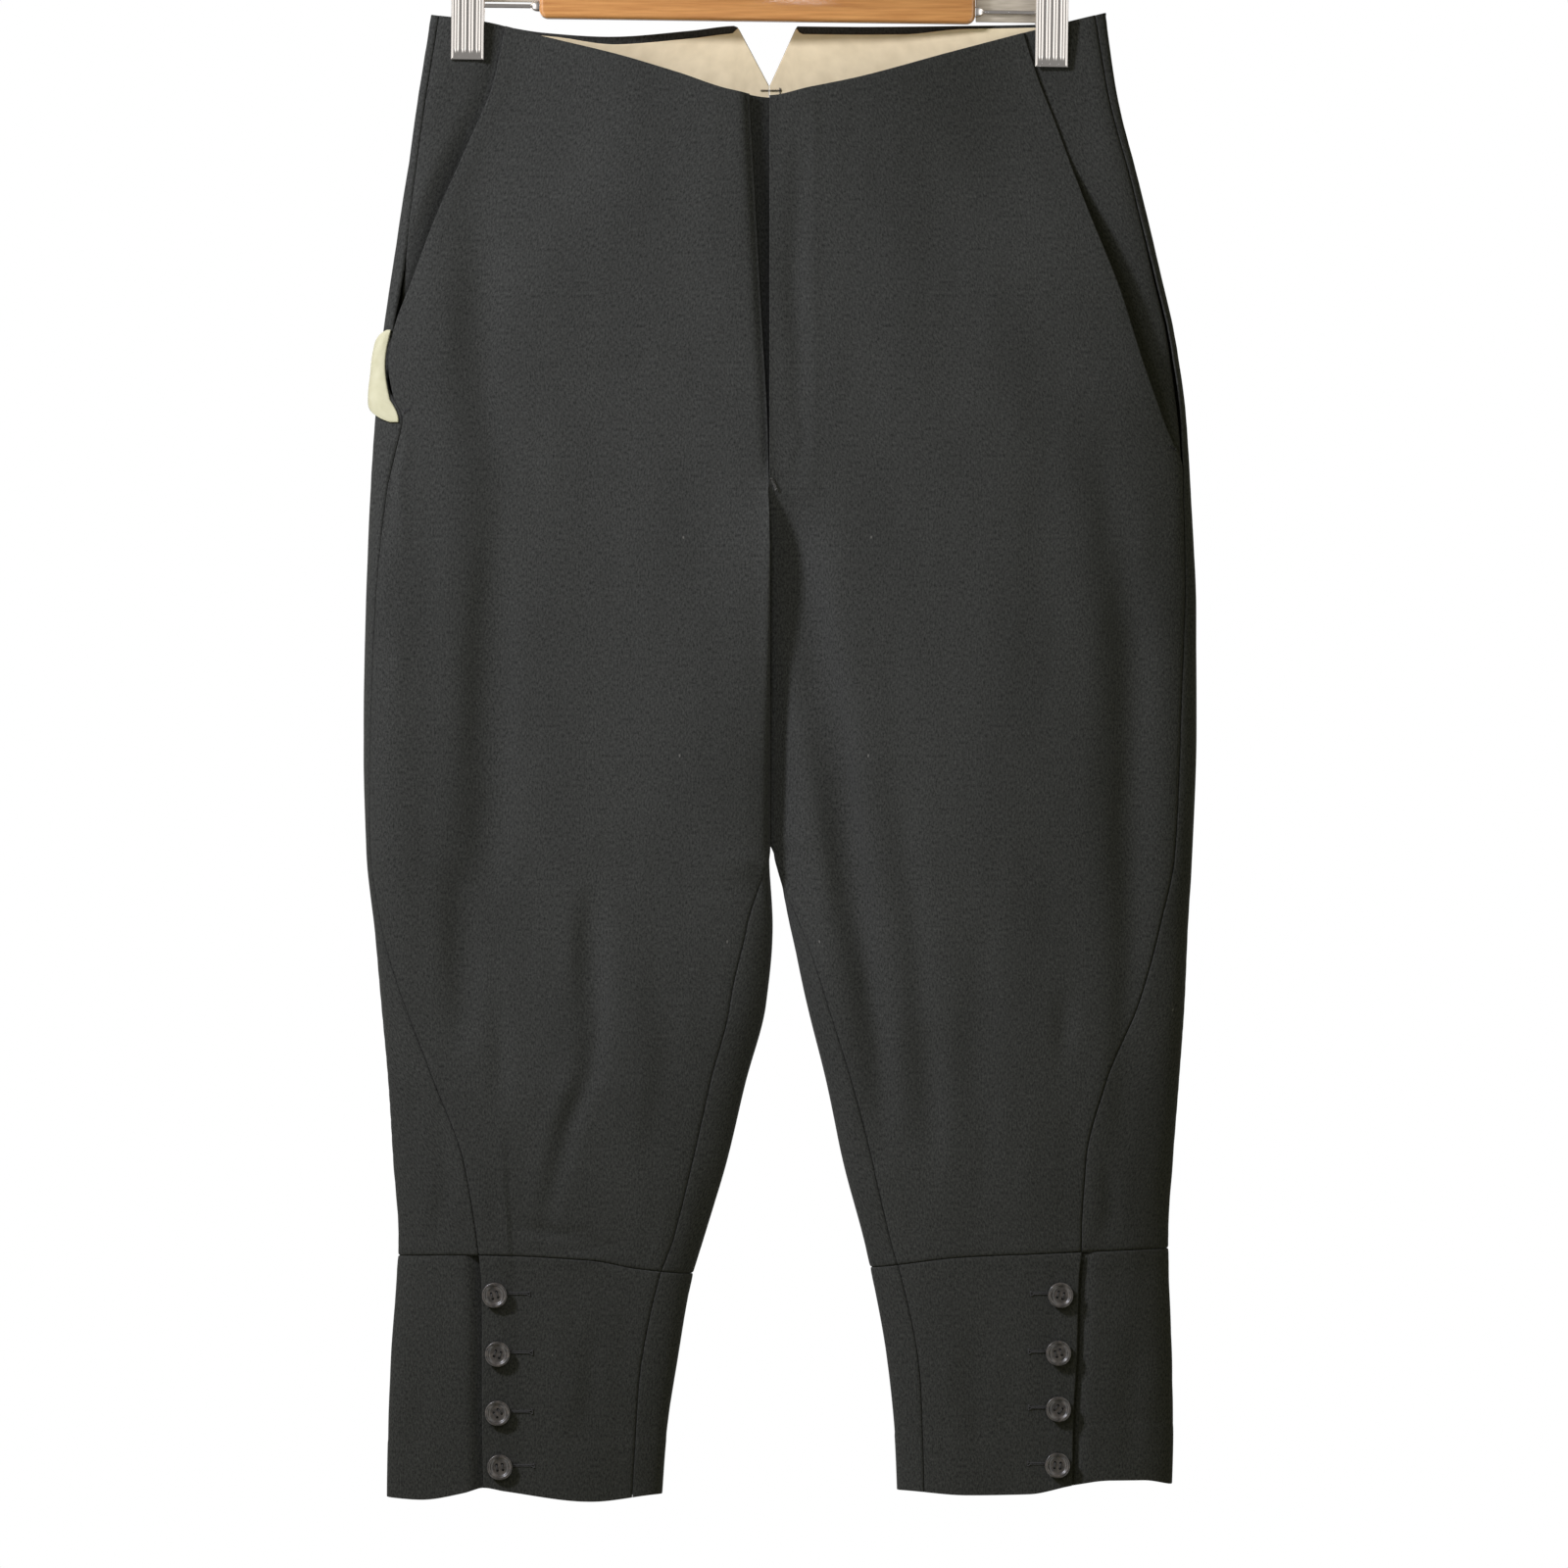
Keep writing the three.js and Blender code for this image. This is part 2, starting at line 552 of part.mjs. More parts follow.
function toManifold(geometry) {
  const position = geometry.attributes.position;
  const keys = new Map();
  const points = [];
  const place = [];
  for (let i = 0; i < position.count; i += 1) {
    const at = new THREE.Vector3().fromBufferAttribute(position, i);
    const key = at.toArray().map((n) => Math.round(n * 1e4)).join();
    if (!keys.has(key)) {
      keys.set(key, points.length / 3);
      points.push(...at.toArray());
    }
    place.push(keys.get(key));
  }
  const order = geometry.index ? [...geometry.index.array] : place.map((_, i) => i);
  const faces = [];
  for (let f = 0; f < order.length; f += 3) {
    const [a, b, c] = [place[order[f]], place[order[f + 1]], place[order[f + 2]]];
    if (a !== b && b !== c && c !== a) faces.push(a, b, c);
  }
  const made = new wasm.Mesh({
    numProp: 3,
    vertProperties: new Float32Array(points),
    triVerts: new Uint32Array(faces),
  });
  return new wasm.Manifold(made);
}

function fromManifold(solid) {
  const made = solid.getMesh();
  const geometry = new THREE.BufferGeometry();
  const positions = new THREE.Float32BufferAttribute(made.vertProperties, 3);
  geometry.setAttribute("position", positions);
  geometry.setIndex([...made.triVerts]);
  geometry.computeVertexNormals();
  return geometry;
}

// A four-hole button with a raised rim and a dished middle, its back at z = 0.
function buttonGeometry() {
  const { radius, thickness, hole, spread } = button;
  const profile = [
    [0, 0], [radius - 0.9, 0], [radius, 0.9], [radius - 0.3, thickness],
    [radius - 1.6, thickness], [radius - 2.6, thickness - 1], [0, thickness - 1.2],
  ].map(([r, z]) => new THREE.Vector2(r, z));
  const turned = new THREE.LatheGeometry(profile, 16).rotateX(Math.PI / 2);
  let solid = toManifold(turned);
  for (const x of [-spread, spread]) {
    for (const y of [-spread, spread]) {
      const drill = new THREE.CylinderGeometry(hole, hole, thickness * 3, 5).rotateX(Math.PI / 2);
      solid = solid.subtract(toManifold(drill.translate(x, y, 0)));
    }
  }
  return fromManifold(solid);
}

function addButtons(half, table) {
  table.forEach(({ x, z }, i) => {
    const turn = turnAtX(half, z, x);
    const seat = lifted(half, turn, z, button.lift);
    const normal = lifted(half, turn, z, 1).sub(lifted(half, turn, z, 0));
    const made = mesh(`button_${half.name}_${i + 1}`, buttonGeometry(), "button");
    made.position.copy(seat);
    made.quaternion.setFromUnitVectors(new THREE.Vector3(0, 0, 1), normal.normalize());
  });
}
addButtons(right, rightButtons);
addButtons(left, leftButtons);

// ---------------------------------------------------------------- hanger

const hanger = new THREE.Group();
hanger.rotation.y = hangerLean;
garment.add(hanger);

function barGeometry() {
  const { length, height, depth, corner, bevel } = bar;
  const x = length / 2 - bevel;
  const z = height / 2 - bevel;
  const r = corner - bevel;
  const outline = new THREE.Shape();
  outline.moveTo(-x + r, -z);
  outline.lineTo(x - r, -z);
  outline.absarc(x - r, -z + r, r, -Math.PI / 2, 0);
  outline.absarc(x - r, z - r, r, 0, Math.PI / 2);
  outline.absarc(-x + r, z - r, r, Math.PI / 2, Math.PI);
  outline.absarc(-x + r, -z + r, r, Math.PI, 1.5 * Math.PI);
  const slab = new THREE.ExtrudeGeometry(outline, {
    depth: depth - 2 * bevel,
    bevelThickness: bevel,
    bevelSize: bevel,
    bevelSegments: 2,
    curveSegments: 3,
  });
  return slab.translate(0, 0, bevel - depth / 2).rotateX(Math.PI / 2);
}
mesh("hanger_bar", barGeometry(), "wood", hanger).position.z = bar.footZ + bar.height / 2;

// The hook's wire goes up from the bar, out to one side and over the rail.
function hookGeometry() {
  const round = hook.radius + hook.wire;
  const turns = [-25, 0, 25, 50, 75, 90, 105, 130, 155, 180, 200];
  const stemFoot = bar.footZ + bar.height + seamGap;
  const points = [
    [0, stemFoot], [0, -60], [3, -51], [12, -41],
    ...turns.map((degrees) => {
      const angle = THREE.MathUtils.degToRad(degrees);
      return [round * Math.cos(angle), -hook.radius + round * Math.sin(angle)];
    }),
  ];
  const route = new THREE.CatmullRomCurve3(points.map(([x, z]) => new THREE.Vector3(x, 0, z)));
  const ring = new THREE.Shape().absarc(0, 0, hook.wire, 0, 2 * Math.PI);
  const wire = new THREE.ExtrudeGeometry(ring, { steps: 34, curveSegments: 5, extrudePath: route });
  const collar = new THREE.CylinderGeometry(hook.collar, hook.collar, hook.collarHeight, 14);
  collar.rotateX(Math.PI / 2).translate(0, 0, stemFoot + hook.collarHeight / 2);
  return fromManifold(toManifold(wire).add(toManifold(collar)));
}
mesh("hanger_hook", hookGeometry(), "chrome", hanger);

// From each end of the bar a rod with a flat strip behind it runs to the clip, and ends in
// the round spring between the clip's jaws.
function addArm(name, place, way, stripFoot) {
  const clipX = Math.abs(place.x - place.footZ * hangerLean);
  const reach = clipX - clip.width / 2;
  const start = bar.length / 2 + seamGap;
  const across = (radius, length, sides) =>
    new THREE.CylinderGeometry(radius, radius, length, sides).rotateZ(Math.PI / 2);
  const ferrule = across(rod.ferrule, rod.ferruleLength, 12);
  ferrule.translate(start + rod.ferruleLength / 2, 0, 0);
  const wire = across(rod.radius, reach - start + 1, 10).translate((start + reach + 1) / 2, 0, 0);
  const spring = across(springRadius, clip.width, 14).translate(clipX, 0, 0);
  const plate = new THREE.BoxGeometry(reach - start + 1, strip.thickness, strip.height);
  const plateZ = stripFoot + strip.height / 2 - rod.z;
  plate.translate((start + reach + 1) / 2, strip.behind * way, plateZ);
  let solid = toManifold(ferrule);
  for (const piece of [wire, spring, plate]) solid = solid.add(toManifold(piece));
  const made = mesh(`hanger_arm_${name}`, fromManifold(solid), "chrome", hanger);
  made.position.z = rod.z;
  made.rotation.z = way < 0 ? Math.PI : 0;
}
addArm("right", clipRight, -1, strip.footRight);
addArm("left", clipLeft, 1, strip.footLeft);

// One jaw of a clip, its foot at z = 0 and its grip just clear of the cloth.
function jawGeometry() {
  const grip = -clip.halfGap - clip.clear;
  const face = [[grip - clip.wall, 0], [grip - 3, 16], [grip - 4.6, 34], [grip - 5.2, 52]];
  const inside = [[grip - 3.4, 52], [grip - 3, 34], [grip - 1.4, 16], [grip, 3], [grip, 0]];
  const side = new THREE.Shape([...face, ...inside].map(([y, z]) => new THREE.Vector2(y, z)));
  const slab = new THREE.ExtrudeGeometry(side, { depth: clip.width, bevelEnabled: false });
  let solid = toManifold(slab.translate(0, 0, -clip.width / 2));
  const ribFoot = 4.5;
  const proud = clip.ribProud;
  const front = face.map(([y, z]) => [y - proud, Math.max(z, ribFoot)]);
  const rear = face.map(([y, z]) => [y + proud, Math.max(z, ribFoot)]).reverse();
  const rib = new THREE.Shape([...front, ...rear].map(([y, z]) => new THREE.Vector2(y, z)));
  const pitch = clip.width / (clip.ribs + 0.6);
  for (let i = 0; i < clip.ribs; i += 1) {
    const across = (i - (clip.ribs - 1) / 2) * pitch;
    const bead = new THREE.ExtrudeGeometry(rib, { depth: 1.4, bevelEnabled: false });
    solid = solid.add(toManifold(bead.translate(0, 0, across - 0.7)));
  }
  // The profile's x, y and depth become y, z and x.
  const turn = new THREE.Matrix4().set(0, 0, 1, 0, 1, 0, 0, 0, 0, 1, 0, 0, 0, 0, 0, 1);
  return fromManifold(solid).applyMatrix4(turn);
}

function addClip(name, place) {
  const group = new THREE.Group();
  group.position.set(place.x, 0, place.footZ);
  group.rotation.y = hangerLean;
  garment.add(group);
  mesh(`clip_front_${name}`, jawGeometry(), "chrome", group);
  mesh(`clip_back_${name}`, jawGeometry(), "chrome", group).rotation.z = Math.PI;
}
addClip("right", clipRight);
addClip("left", clipLeft);

export default garment;
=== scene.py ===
# Jodhpurs on a wooden clip hanger: the cloth, its sewing and the finish of every surface.
import math

import bmesh
import bpy
import numpy as np
from mathutils import Matrix, Vector


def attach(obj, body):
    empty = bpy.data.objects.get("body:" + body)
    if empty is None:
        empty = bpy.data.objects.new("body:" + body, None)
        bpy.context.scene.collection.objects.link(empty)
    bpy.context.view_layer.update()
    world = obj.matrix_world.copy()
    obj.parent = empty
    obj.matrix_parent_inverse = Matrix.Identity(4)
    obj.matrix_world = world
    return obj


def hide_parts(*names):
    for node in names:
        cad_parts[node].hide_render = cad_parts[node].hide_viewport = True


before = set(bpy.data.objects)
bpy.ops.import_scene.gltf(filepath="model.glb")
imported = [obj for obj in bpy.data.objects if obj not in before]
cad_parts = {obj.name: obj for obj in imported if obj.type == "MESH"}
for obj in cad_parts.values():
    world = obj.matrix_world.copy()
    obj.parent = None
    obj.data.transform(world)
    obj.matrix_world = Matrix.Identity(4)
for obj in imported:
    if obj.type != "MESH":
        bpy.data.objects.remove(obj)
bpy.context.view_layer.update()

mm = 0.001

# the garment's form, in millimetres, as the solids have it
# z, outer edge, inner edge, side seam inset, inner seam or fly inset, front and back depth
rightSections = [
    (-95, -187.5, 5.5, 4.5, 13, 15, 13), (-144, -195.4, 5.5, 4.5, 11, 17, 15),
    (-189, -202, 5.5, 5, 8.5, 18.5, 18), (-234, -209, 5.5, 6, 6, 20, 21),
    (-279, -215.5, 5.5, 5, 3.5, 21.5, 24), (-303, -217.8, 5.5, 4.6, 2, 22.3, 25),
    (-327, -219.8, 5.5, 16.3, 0.8, 23, 26), (-345, -221, 5.5, 13.6, 0.4, 23.5, 27),
    (-368, -222.3, 5.5, 10.5, 0, 24, 28), (-435, -224.8, 5.5, 7.7, 0, 25, 29),
    (-503, -226, 5.5, 6.5, 0, 25, 29), (-572, -224.5, 5.5, 4, 0, 24.5, 28),
    (-615, -220, 7.6, 6, 14, 24, 27), (-659, -216.2, 3.9, 14.5, 20, 23.5, 25.5),
    (-704, -212.2, -7.8, 27, 19.5, 22.5, 24), (-749, -209.4, -18.5, 41, 19, 21, 22),
    (-794, -206.3, -32, 45.5, 17, 19, 20), (-816, -207.4, -38.6, 49, 18.5, 18, 19),
    (-861, -210.6, -46.5, 52.6, 20, 18, 18.5), (-906, -212.2, -53.2, 54.3, 17, 18, 18.5),
    (-946, -212.8, -56.2, 56, 16.2, 18.5, 19),
]
leftSections = [
    (-95, 198, 5.7, 6, 0, 15, 13), (-144, 205.5, 5.7, 5, 0, 17, 15),
    (-189, 216.7, 5.7, 4, 0, 18.5, 18), (-234, 227.4, 5.7, 3.5, 0, 20, 21),
    (-279, 237.4, 5.7, 3, 0, 21.5, 24), (-323, 243.6, 5.7, 3, 0, 23, 26),
    (-368, 246.4, 5.7, 4.2, 0, 24, 28), (-435, 249.6, 5.7, 6.5, 0, 25, 29),
    (-503, 249.8, 5.7, 9, 0, 25, 29), (-572, 247.5, 5.7, 10, 0, 24.5, 28),
    (-615, 244.9, 17.4, 16, 6.5, 24, 27), (-659, 242.9, 26.9, 26, 12, 23.5, 25.5),
    (-704, 239.7, 38.2, 42, 14.5, 22.5, 24), (-749, 236.3, 47.6, 50, 16.5, 21, 22),
    (-794, 233.6, 59.6, 49.8, 15, 19, 20), (-816, 234.1, 64.6, 52, 16.5, 18, 19),
    (-861, 235.8, 72.6, 55, 18, 18, 18.5), (-906, 236.4, 77.3, 57.8, 16, 18, 18.5),
    (-946, 235.2, 79, 57.7, 15.4, 18.5, 19),
]
# edges that run across the garment: x, z
frontWaist = [
    (-188, -94.1), (-156, -98.4), (-122, -107.1), (-79.5, -117.8), (-46.5, -127.8),
    (-16.8, -137.6), (5.5, -141.1), (27.8, -136.5), (58.8, -129.9), (109, -115.9),
    (149, -105.1), (176, -98.3), (198, -93),
]
backWaist = [
    (-188, -94.1), (-154, -99.1), (-123, -104.1), (-87, -106), (-40, -102.4),
    (-12.8, -99.5), (21.3, -99.8), (62.7, -100.2), (133, -100), (156, -99.6),
    (176, -98.2), (198, -93),
]
kneeSeam = [
    (-207, -803.1), (-161, -802.5), (-97, -805.6), (-69, -810.5), (-36, -813.4),
    (62, -810), (113, -804), (160, -801.7), (234, -798.9),
]
hem = [
    (-213, -940.8), (-193, -941.9), (-169, -938), (-157, -934.8), (-145, -936.8),
    (-95, -942.8), (-56, -939.1), (79, -936.8), (118, -939.1), (154, -938.4),
    (178, -933.6), (200, -930.8), (219, -930.8), (235, -933.4),
]
# the slanted pocket mouths: z, x
rightPocket = [
    (-95, -144), (-134, -152.3), (-164, -164.6), (-210, -184.5), (-241, -196),
    (-277, -209.2), (-293, -211.7), (-316, -208.3), (-327, -203.4),
]
leftPocket = [
    (-95, 148), (-127, 157.9), (-157, 169.4), (-210, 188.7), (-252, 205),
    (-297, 219), (-329, 231), (-350, 241.3),
]
form = {
    "crotchZ": -572, "kneeZ": -803, "waistZ": -100, "warpReach": 80,
    "centreX": 5.6, "notchDepth": 34.5, "notchRight": 18.4, "notchLeft": 15.7,
    "valleyFront": -356, "valleyBack": -392, "clipGap": 3.4, "clipPlateau": 14,
    "clipRightX": -166.9, "clipLeftX": 166.6,
    "cloth": 1.2, "cotton": 1.0, "under": 2.0,
}
# how the clips press it: reach beyond and between them, and the heights where it ends and is full
press = {"outward": 34, "inward": 62, "foot": -262, "top": -130}
# how full its curves are: a power below 1 fills them out
fullness = {"parted": 0.85, "back": 0.75, "leg": 0.85, "outer": 0.9, "legFrom": (-600, -720)}
# the blunt crotch on the left leg: distance, reach across, and where it starts and ends
blunt = {"apart": 4.6, "reach": 14, "top": (-565, -573), "foot": (-616, -580)}
# the large folds that the solids have too: face, top, foot, x at top and foot, half width, depth
folds = [
    ("front", -393, -600, -153, -158, 15, 3.6), ("front", -590, -706, -95, -102, 10, 3.2),
    ("front", -580, -690, -172, -166, 11, 2.4), ("front", -378, -640, 14, 56, 12, 4.2),
    ("front", -400, -640, 208, 206, 14, 3), ("front", -670, -750, 92, 98, 13, 2.2),
    ("back", -400, -640, -40, -96, 15, 4), ("back", -410, -650, 50, 112, 16, 4.2),
    ("back", -560, -700, -150, -140, 13, 3), ("back", -545, -690, 180, 170, 13, 2.8),
    ("back", -215, -380, -118, -92, 18, 3), ("back", -225, -395, 124, 104, 18, 2.8),
]


def smooth(start, end, value):
    t = np.clip((value - start) / (end - start), 0, 1)
    return t * t * (3 - 2 * t)


def blendTo(a, b, t):
    return a + (b - a) * t


def bell(value, width):
    # 1 at zero, falling away to both sides within about two widths
    return np.exp(-((value / width) ** 2))


def curveThrough(rows, column=1):
    # a curve through the rows that never overshoots them
    rows = sorted(rows)
    at = np.array([row[0] for row in rows], float)
    held = np.array([row[column] for row in rows], float)
    span = np.diff(at)
    rise = np.diff(held) / span
    slope = np.zeros(len(at))
    slope[0], slope[-1] = rise[0], rise[-1]
    both = rise[:-1] * rise[1:]
    total = rise[:-1] + rise[1:]
    slope[1:-1] = np.where(both > 0, 2 * both / np.where(both > 0, total, 1), 0)

    def value(where):
        where = np.asarray(where, float)
        i = np.clip(np.searchsorted(at, where, side="left") - 1, 0, len(at) - 2)
        t = np.clip((where - at[i]) / span[i], 0, 1)
        t2, t3 = t * t, t * t * t
        ends = held[i] * (2 * t3 - 3 * t2 + 1) + held[i + 1] * (3 * t2 - 2 * t3)
        return ends + span[i] * (slope[i] * (t3 - 2 * t2 + t) + slope[i + 1] * (t3 - t2))

    return value


frontWaistZ = curveThrough(frontWaist)
wholeBackWaistZ = curveThrough(backWaist)
kneeSeamZ = curveThrough(kneeSeam)
hemZ = curveThrough(hem)


def backWaistZ(x):
    reach = np.where(x < form["centreX"], form["notchRight"], form["notchLeft"])
    away = np.abs(x - form["centreX"]) / reach
    return wholeBackWaistZ(x) - form["notchDepth"] * np.maximum(0, 1 - away)


def halfBody(name, sections, pocket, boxy):
    columns = ["outer", "inner", "side", "inseam", "front", "back"]
    half = {key: curveThrough(sections, i + 1) for i, key in enumerate(columns)}
    half.update(name=name, sign=-1 if name == "right" else 1, boxy=boxy)
    half.update(pocketX=curveThrough(pocket), pocketFootZ=min(row[0] for row in pocket))
    return half


right = halfBody("right", rightSections, rightPocket, 0.56)
left = halfBody("left", leftSections, leftPocket, 0.86)


def pressed(x, z):
    # how hard the clips press the cloth together
    fromX = np.where(x < 0, form["clipRightX"], form["clipLeftX"])
    beyond = np.maximum(0, np.abs(x - fromX) - form["clipPlateau"])
    reach = np.where(np.abs(x) > np.abs(fromX), press["outward"], press["inward"])
    return bell(beyond, reach) * smooth(press["foot"], press["top"], z)


def foldDepth(isFront, x, z):
    depth = np.zeros(np.shape(x))
    for face, top, foot, xTop, xFoot, width, deep in folds:
        down = np.clip((z - top) / (foot - top), 0, 1)
        away = (x - blendTo(xTop, xFoot, down)) / width
        here = deep * np.exp(-away * away) * np.sin(math.pi * down)
        depth += np.where(isFront == (face == "front"), here, 0)
    return depth


def surface(half, turn, z):
    # turn goes round a half of the garment: 0 inner edge of the front, 0.5 outer fold, 1 back again
    angle = 2 * math.pi * np.where(turn > 1, turn - 1, turn)
    isFront = angle <= math.pi
    inner, outer = half["inner"](z), half["outer"](z)
    x = inner + (outer - inner) * (1 - np.cos(angle)) / 2
    if half["name"] == "left":
        # the crotch is blunt on this side: the leg starts a little away from the other
        apart = blunt["apart"] * smooth(*blunt["top"], z) * smooth(*blunt["foot"], z)
        x = x + apart * bell(x - inner, blunt["reach"])
    bulge = np.abs(np.sin(angle))
    deep = np.where(isFront, half["front"](z), half["back"](z))
    valley = np.where(isFront, form["valleyFront"], form["valleyBack"])
    parted = np.clip((z - valley) / (form["crotchZ"] - valley), 0, 1)
    parted = (parted * parted * (3 - 2 * parted)) ** fullness["parted"]
    edge = deep * (1 - parted)
    power = np.where(isFront, half["boxy"], fullness["back"])
    power = blendTo(power, fullness["leg"], smooth(*fullness["legFrom"], z))
    innerY = edge + (deep - edge) * bulge ** power
    y = np.where(np.cos(angle) > 0, innerY, deep * bulge ** fullness["outer"])
    y = y - foldDepth(isFront, x, z) * np.minimum(1, bulge * 3)
    y = blendTo(y, form["clipGap"] * np.minimum(1, bulge * 2.2), pressed(x, z))
    return np.stack([x, np.where(isFront, -y, y), z], axis=-1)


def surfaceNormal(half, turn, z):
    turnStep, zStep = 0.0012, 0.8
    closed = z < form["crotchZ"]
    before = np.where(closed, turn - turnStep, np.maximum(0, turn - turnStep))
    before = np.where(before < 0, before + 1, before)
    after = np.where(closed, turn + turnStep, np.minimum(1, turn + turnStep))
    around = surface(half, after, z) - surface(half, before, z)
    up = surface(half, turn, z + zStep) - surface(half, turn, z - zStep)
    normal = np.cross(around, up) * half["sign"]
    return normal / np.maximum(np.linalg.norm(normal, axis=-1, keepdims=True), 1e-9)


def turnFor(half, z, inset):
    width = np.abs(half["outer"](z) - half["inner"](z))
    return np.arccos(1 - 2 * np.maximum(0, inset) / width) / (2 * math.pi)


def turnAtX(half, z, x):
    return turnFor(half, z, np.abs(x - half["inner"](z)))


def sideTurn(half, z, further=0):
    return 0.5 - turnFor(half, z, half["side"](z) + further)


def inseamTurn(half, z):
    return turnFor(half, z, half["inseam"](z))


def turnBeyond(half, turn, z, distance):
    # the turn that lies a distance along the cloth from another
    start = surface(half, turn, z)
    way = 1 if distance > 0 else -1
    near, far = np.zeros(np.shape(turn)), np.full(np.shape(turn), 0.04)
    for _ in range(14):
        middle = (near + far) / 2
        reached = np.linalg.norm(surface(half, turn + way * middle, z) - start, axis=-1)
        short = reached < abs(distance)
        near, far = np.where(short, middle, near), np.where(short, far, middle)
    return turn + way * near


# creases and puckers: points (x, z), half width, depth (a ridge is negative), how far a ridge
# rises beside it, and the half width on the side of the wearer's left where that differs
frontCreases = [
    ([(14, -362), (21, -386), (28, -415), (35, -455), (43, -503), (50, -568), (57, -620), (65, -668),
      (69, -712), (68, -745)], 10, 6.2, 0.8, 8),
    ([(44, -520), (54, -595), (66, -660), (76, -730)], 11, 3.2, 0, 48),
    ([(76, -530), (85, -585), (91, -645), (97, -705), (98, -765)], 8, 2.2, 0.4),
    ([(173, -650), (174, -690)], 6, 1.3, 0.3),
    ([(216, -430), (215, -520), (213, -610), (209, -690), (206, -755)], 10, 2.6, 0.4),
    ([(192, -330), (207, -420), (220, -502)], 12, 2.4, 0.4),
    ([(-152, -370), (-155, -480), (-155, -610)], 11, 1.4, 0.3),
    ([(-160, -195), (-157, -300), (-146, -350), (-143, -533), (-152, -590), (-146, -720)],
     22, 9.4, 0, 125),
    ([(-207, -310), (-209, -400), (-210, -520), (-206, -620), (-202, -700)], 15, -5.4, 0),
    ([(166, -270), (164, -380), (166, -500)], 14, 1.5, 0, 30),
    ([(-97, -585), (-94, -646), (-92.5, -674), (-96, -700), (-108, -728), (-116, -760), (-121, -784)],
     6, 2.6, 0.8),
    ([(-170, -570), (-170, -690)], 8, 1.7, 0.4),
    ([(-148, -652), (-147, -722)], 6, 1.4, 0.3),
    ([(-140, -786), (-116, -790), (-93, -791.5)], 3, 1.5, 0.6),
    ([(-128, -796), (-104, -798), (-78, -797)], 3.5, 1.0, 0.4),
    ([(-163, -150), (-160, -250), (-157, -350)], 14, 3.2, 0.3),
    ([(24, -160), (20, -242), (23.5, -298), (22, -345)], 6, 1.9, 0.3),
    ([(20.7, -316), (24.6, -327.6), (25.2, -337.7), (21.8, -348.9), (21.4, -361)], 1.8, 1.1, 0.3),
    ([(-201, -331), (-201.6, -349), (-205, -357), (-204.4, -371), (-202, -387), (-202.5, -406)],
     2.2, -1.1, 0),
    ([(-212, -404), (-212.5, -438), (-207, -449), (-203.3, -461), (-206.6, -493)], 2.2, -1.0, 0),
    ([(-206, -336), (-209, -362), (-212, -402)], 2.6, 1.3, 0),
    ([(-60, -610), (-52, -690), (-62, -762)], 10, 1.2, 0.3),
    ([(128, -600), (124, -700), (130, -776)], 10, 1.3, 0.3),
    ([(-184, -716), (-178, -760), (-184, -798)], 5, 1.1, 0.3),
    ([(197, -744), (201, -774), (197, -798)], 5, 1.1, 0.3),
    ([(-70, -190), (-76, -262), (-70, -340)], 16, 0.9, 0.2),
    ([(96, -168), (104, -240), (112, -330)], 16, 1.0, 0.2),
    ([(70, -430), (82, -520), (84, -600)], 12, 1.2, 0.3),
    ([(-100, -845), (-96, -880), (-104, -915)], 7, 0.8, 0.2),
    ([(126, -842), (120, -880), (128, -918)], 7, 0.8, 0.2),
    ([(-196, -846), (-192, -884), (-197, -922)], 7, 0.9, 0.2),
    ([(214, -848), (210, -890), (215, -924)], 7, 0.9, 0.2),
]
backCreases = [
    ([(-24, -398), (-42, -452), (-66, -540), (-88, -640)], 8, 2.6, 0.8),
    ([(36, -404), (58, -470), (88, -560), (106, -652)], 8, 2.7, 0.8),
    ([(-146, -556), (-150, -620), (-138, -704)], 8, 2.1, 0.6),
    ([(182, -540), (178, -610), (166, -694)], 8, 2.0, 0.6),
    ([(-120, -210), (-110, -290), (-92, -384)], 11, 1.6, 0.4),
    ([(126, -222), (118, -300), (102, -398)], 11, 1.6, 0.4),
    ([(-96, -786), (-120, -790), (-146, -788)], 3.2, 1.4, 0.5),
    ([(120, -784), (144, -788), (170, -785)], 3.2, 1.3, 0.5),
    ([(-190, -330), (-196, -400), (-193, -470)], 9, 1.6, 0.4),
    ([(214, -340), (219, -420), (214, -500)], 9, 1.6, 0.4),
    ([(-70, -690), (-78, -756)], 8, 1.2, 0.3),
    ([(96, -684), (102, -752)], 8, 1.2, 0.3),
    ([(-40, -150), (-48, -205), (-44, -262)], 13, 1.0, 0.2),
    ([(60, -160), (66, -214), (60, -280)], 13, 1.0, 0.2),
    ([(-110, -846), (-104, -884), (-112, -918)], 8, 1.0, 0.2),
    ([(134, -850), (140, -886), (132, -920)], 8, 1.0, 0.2),
]


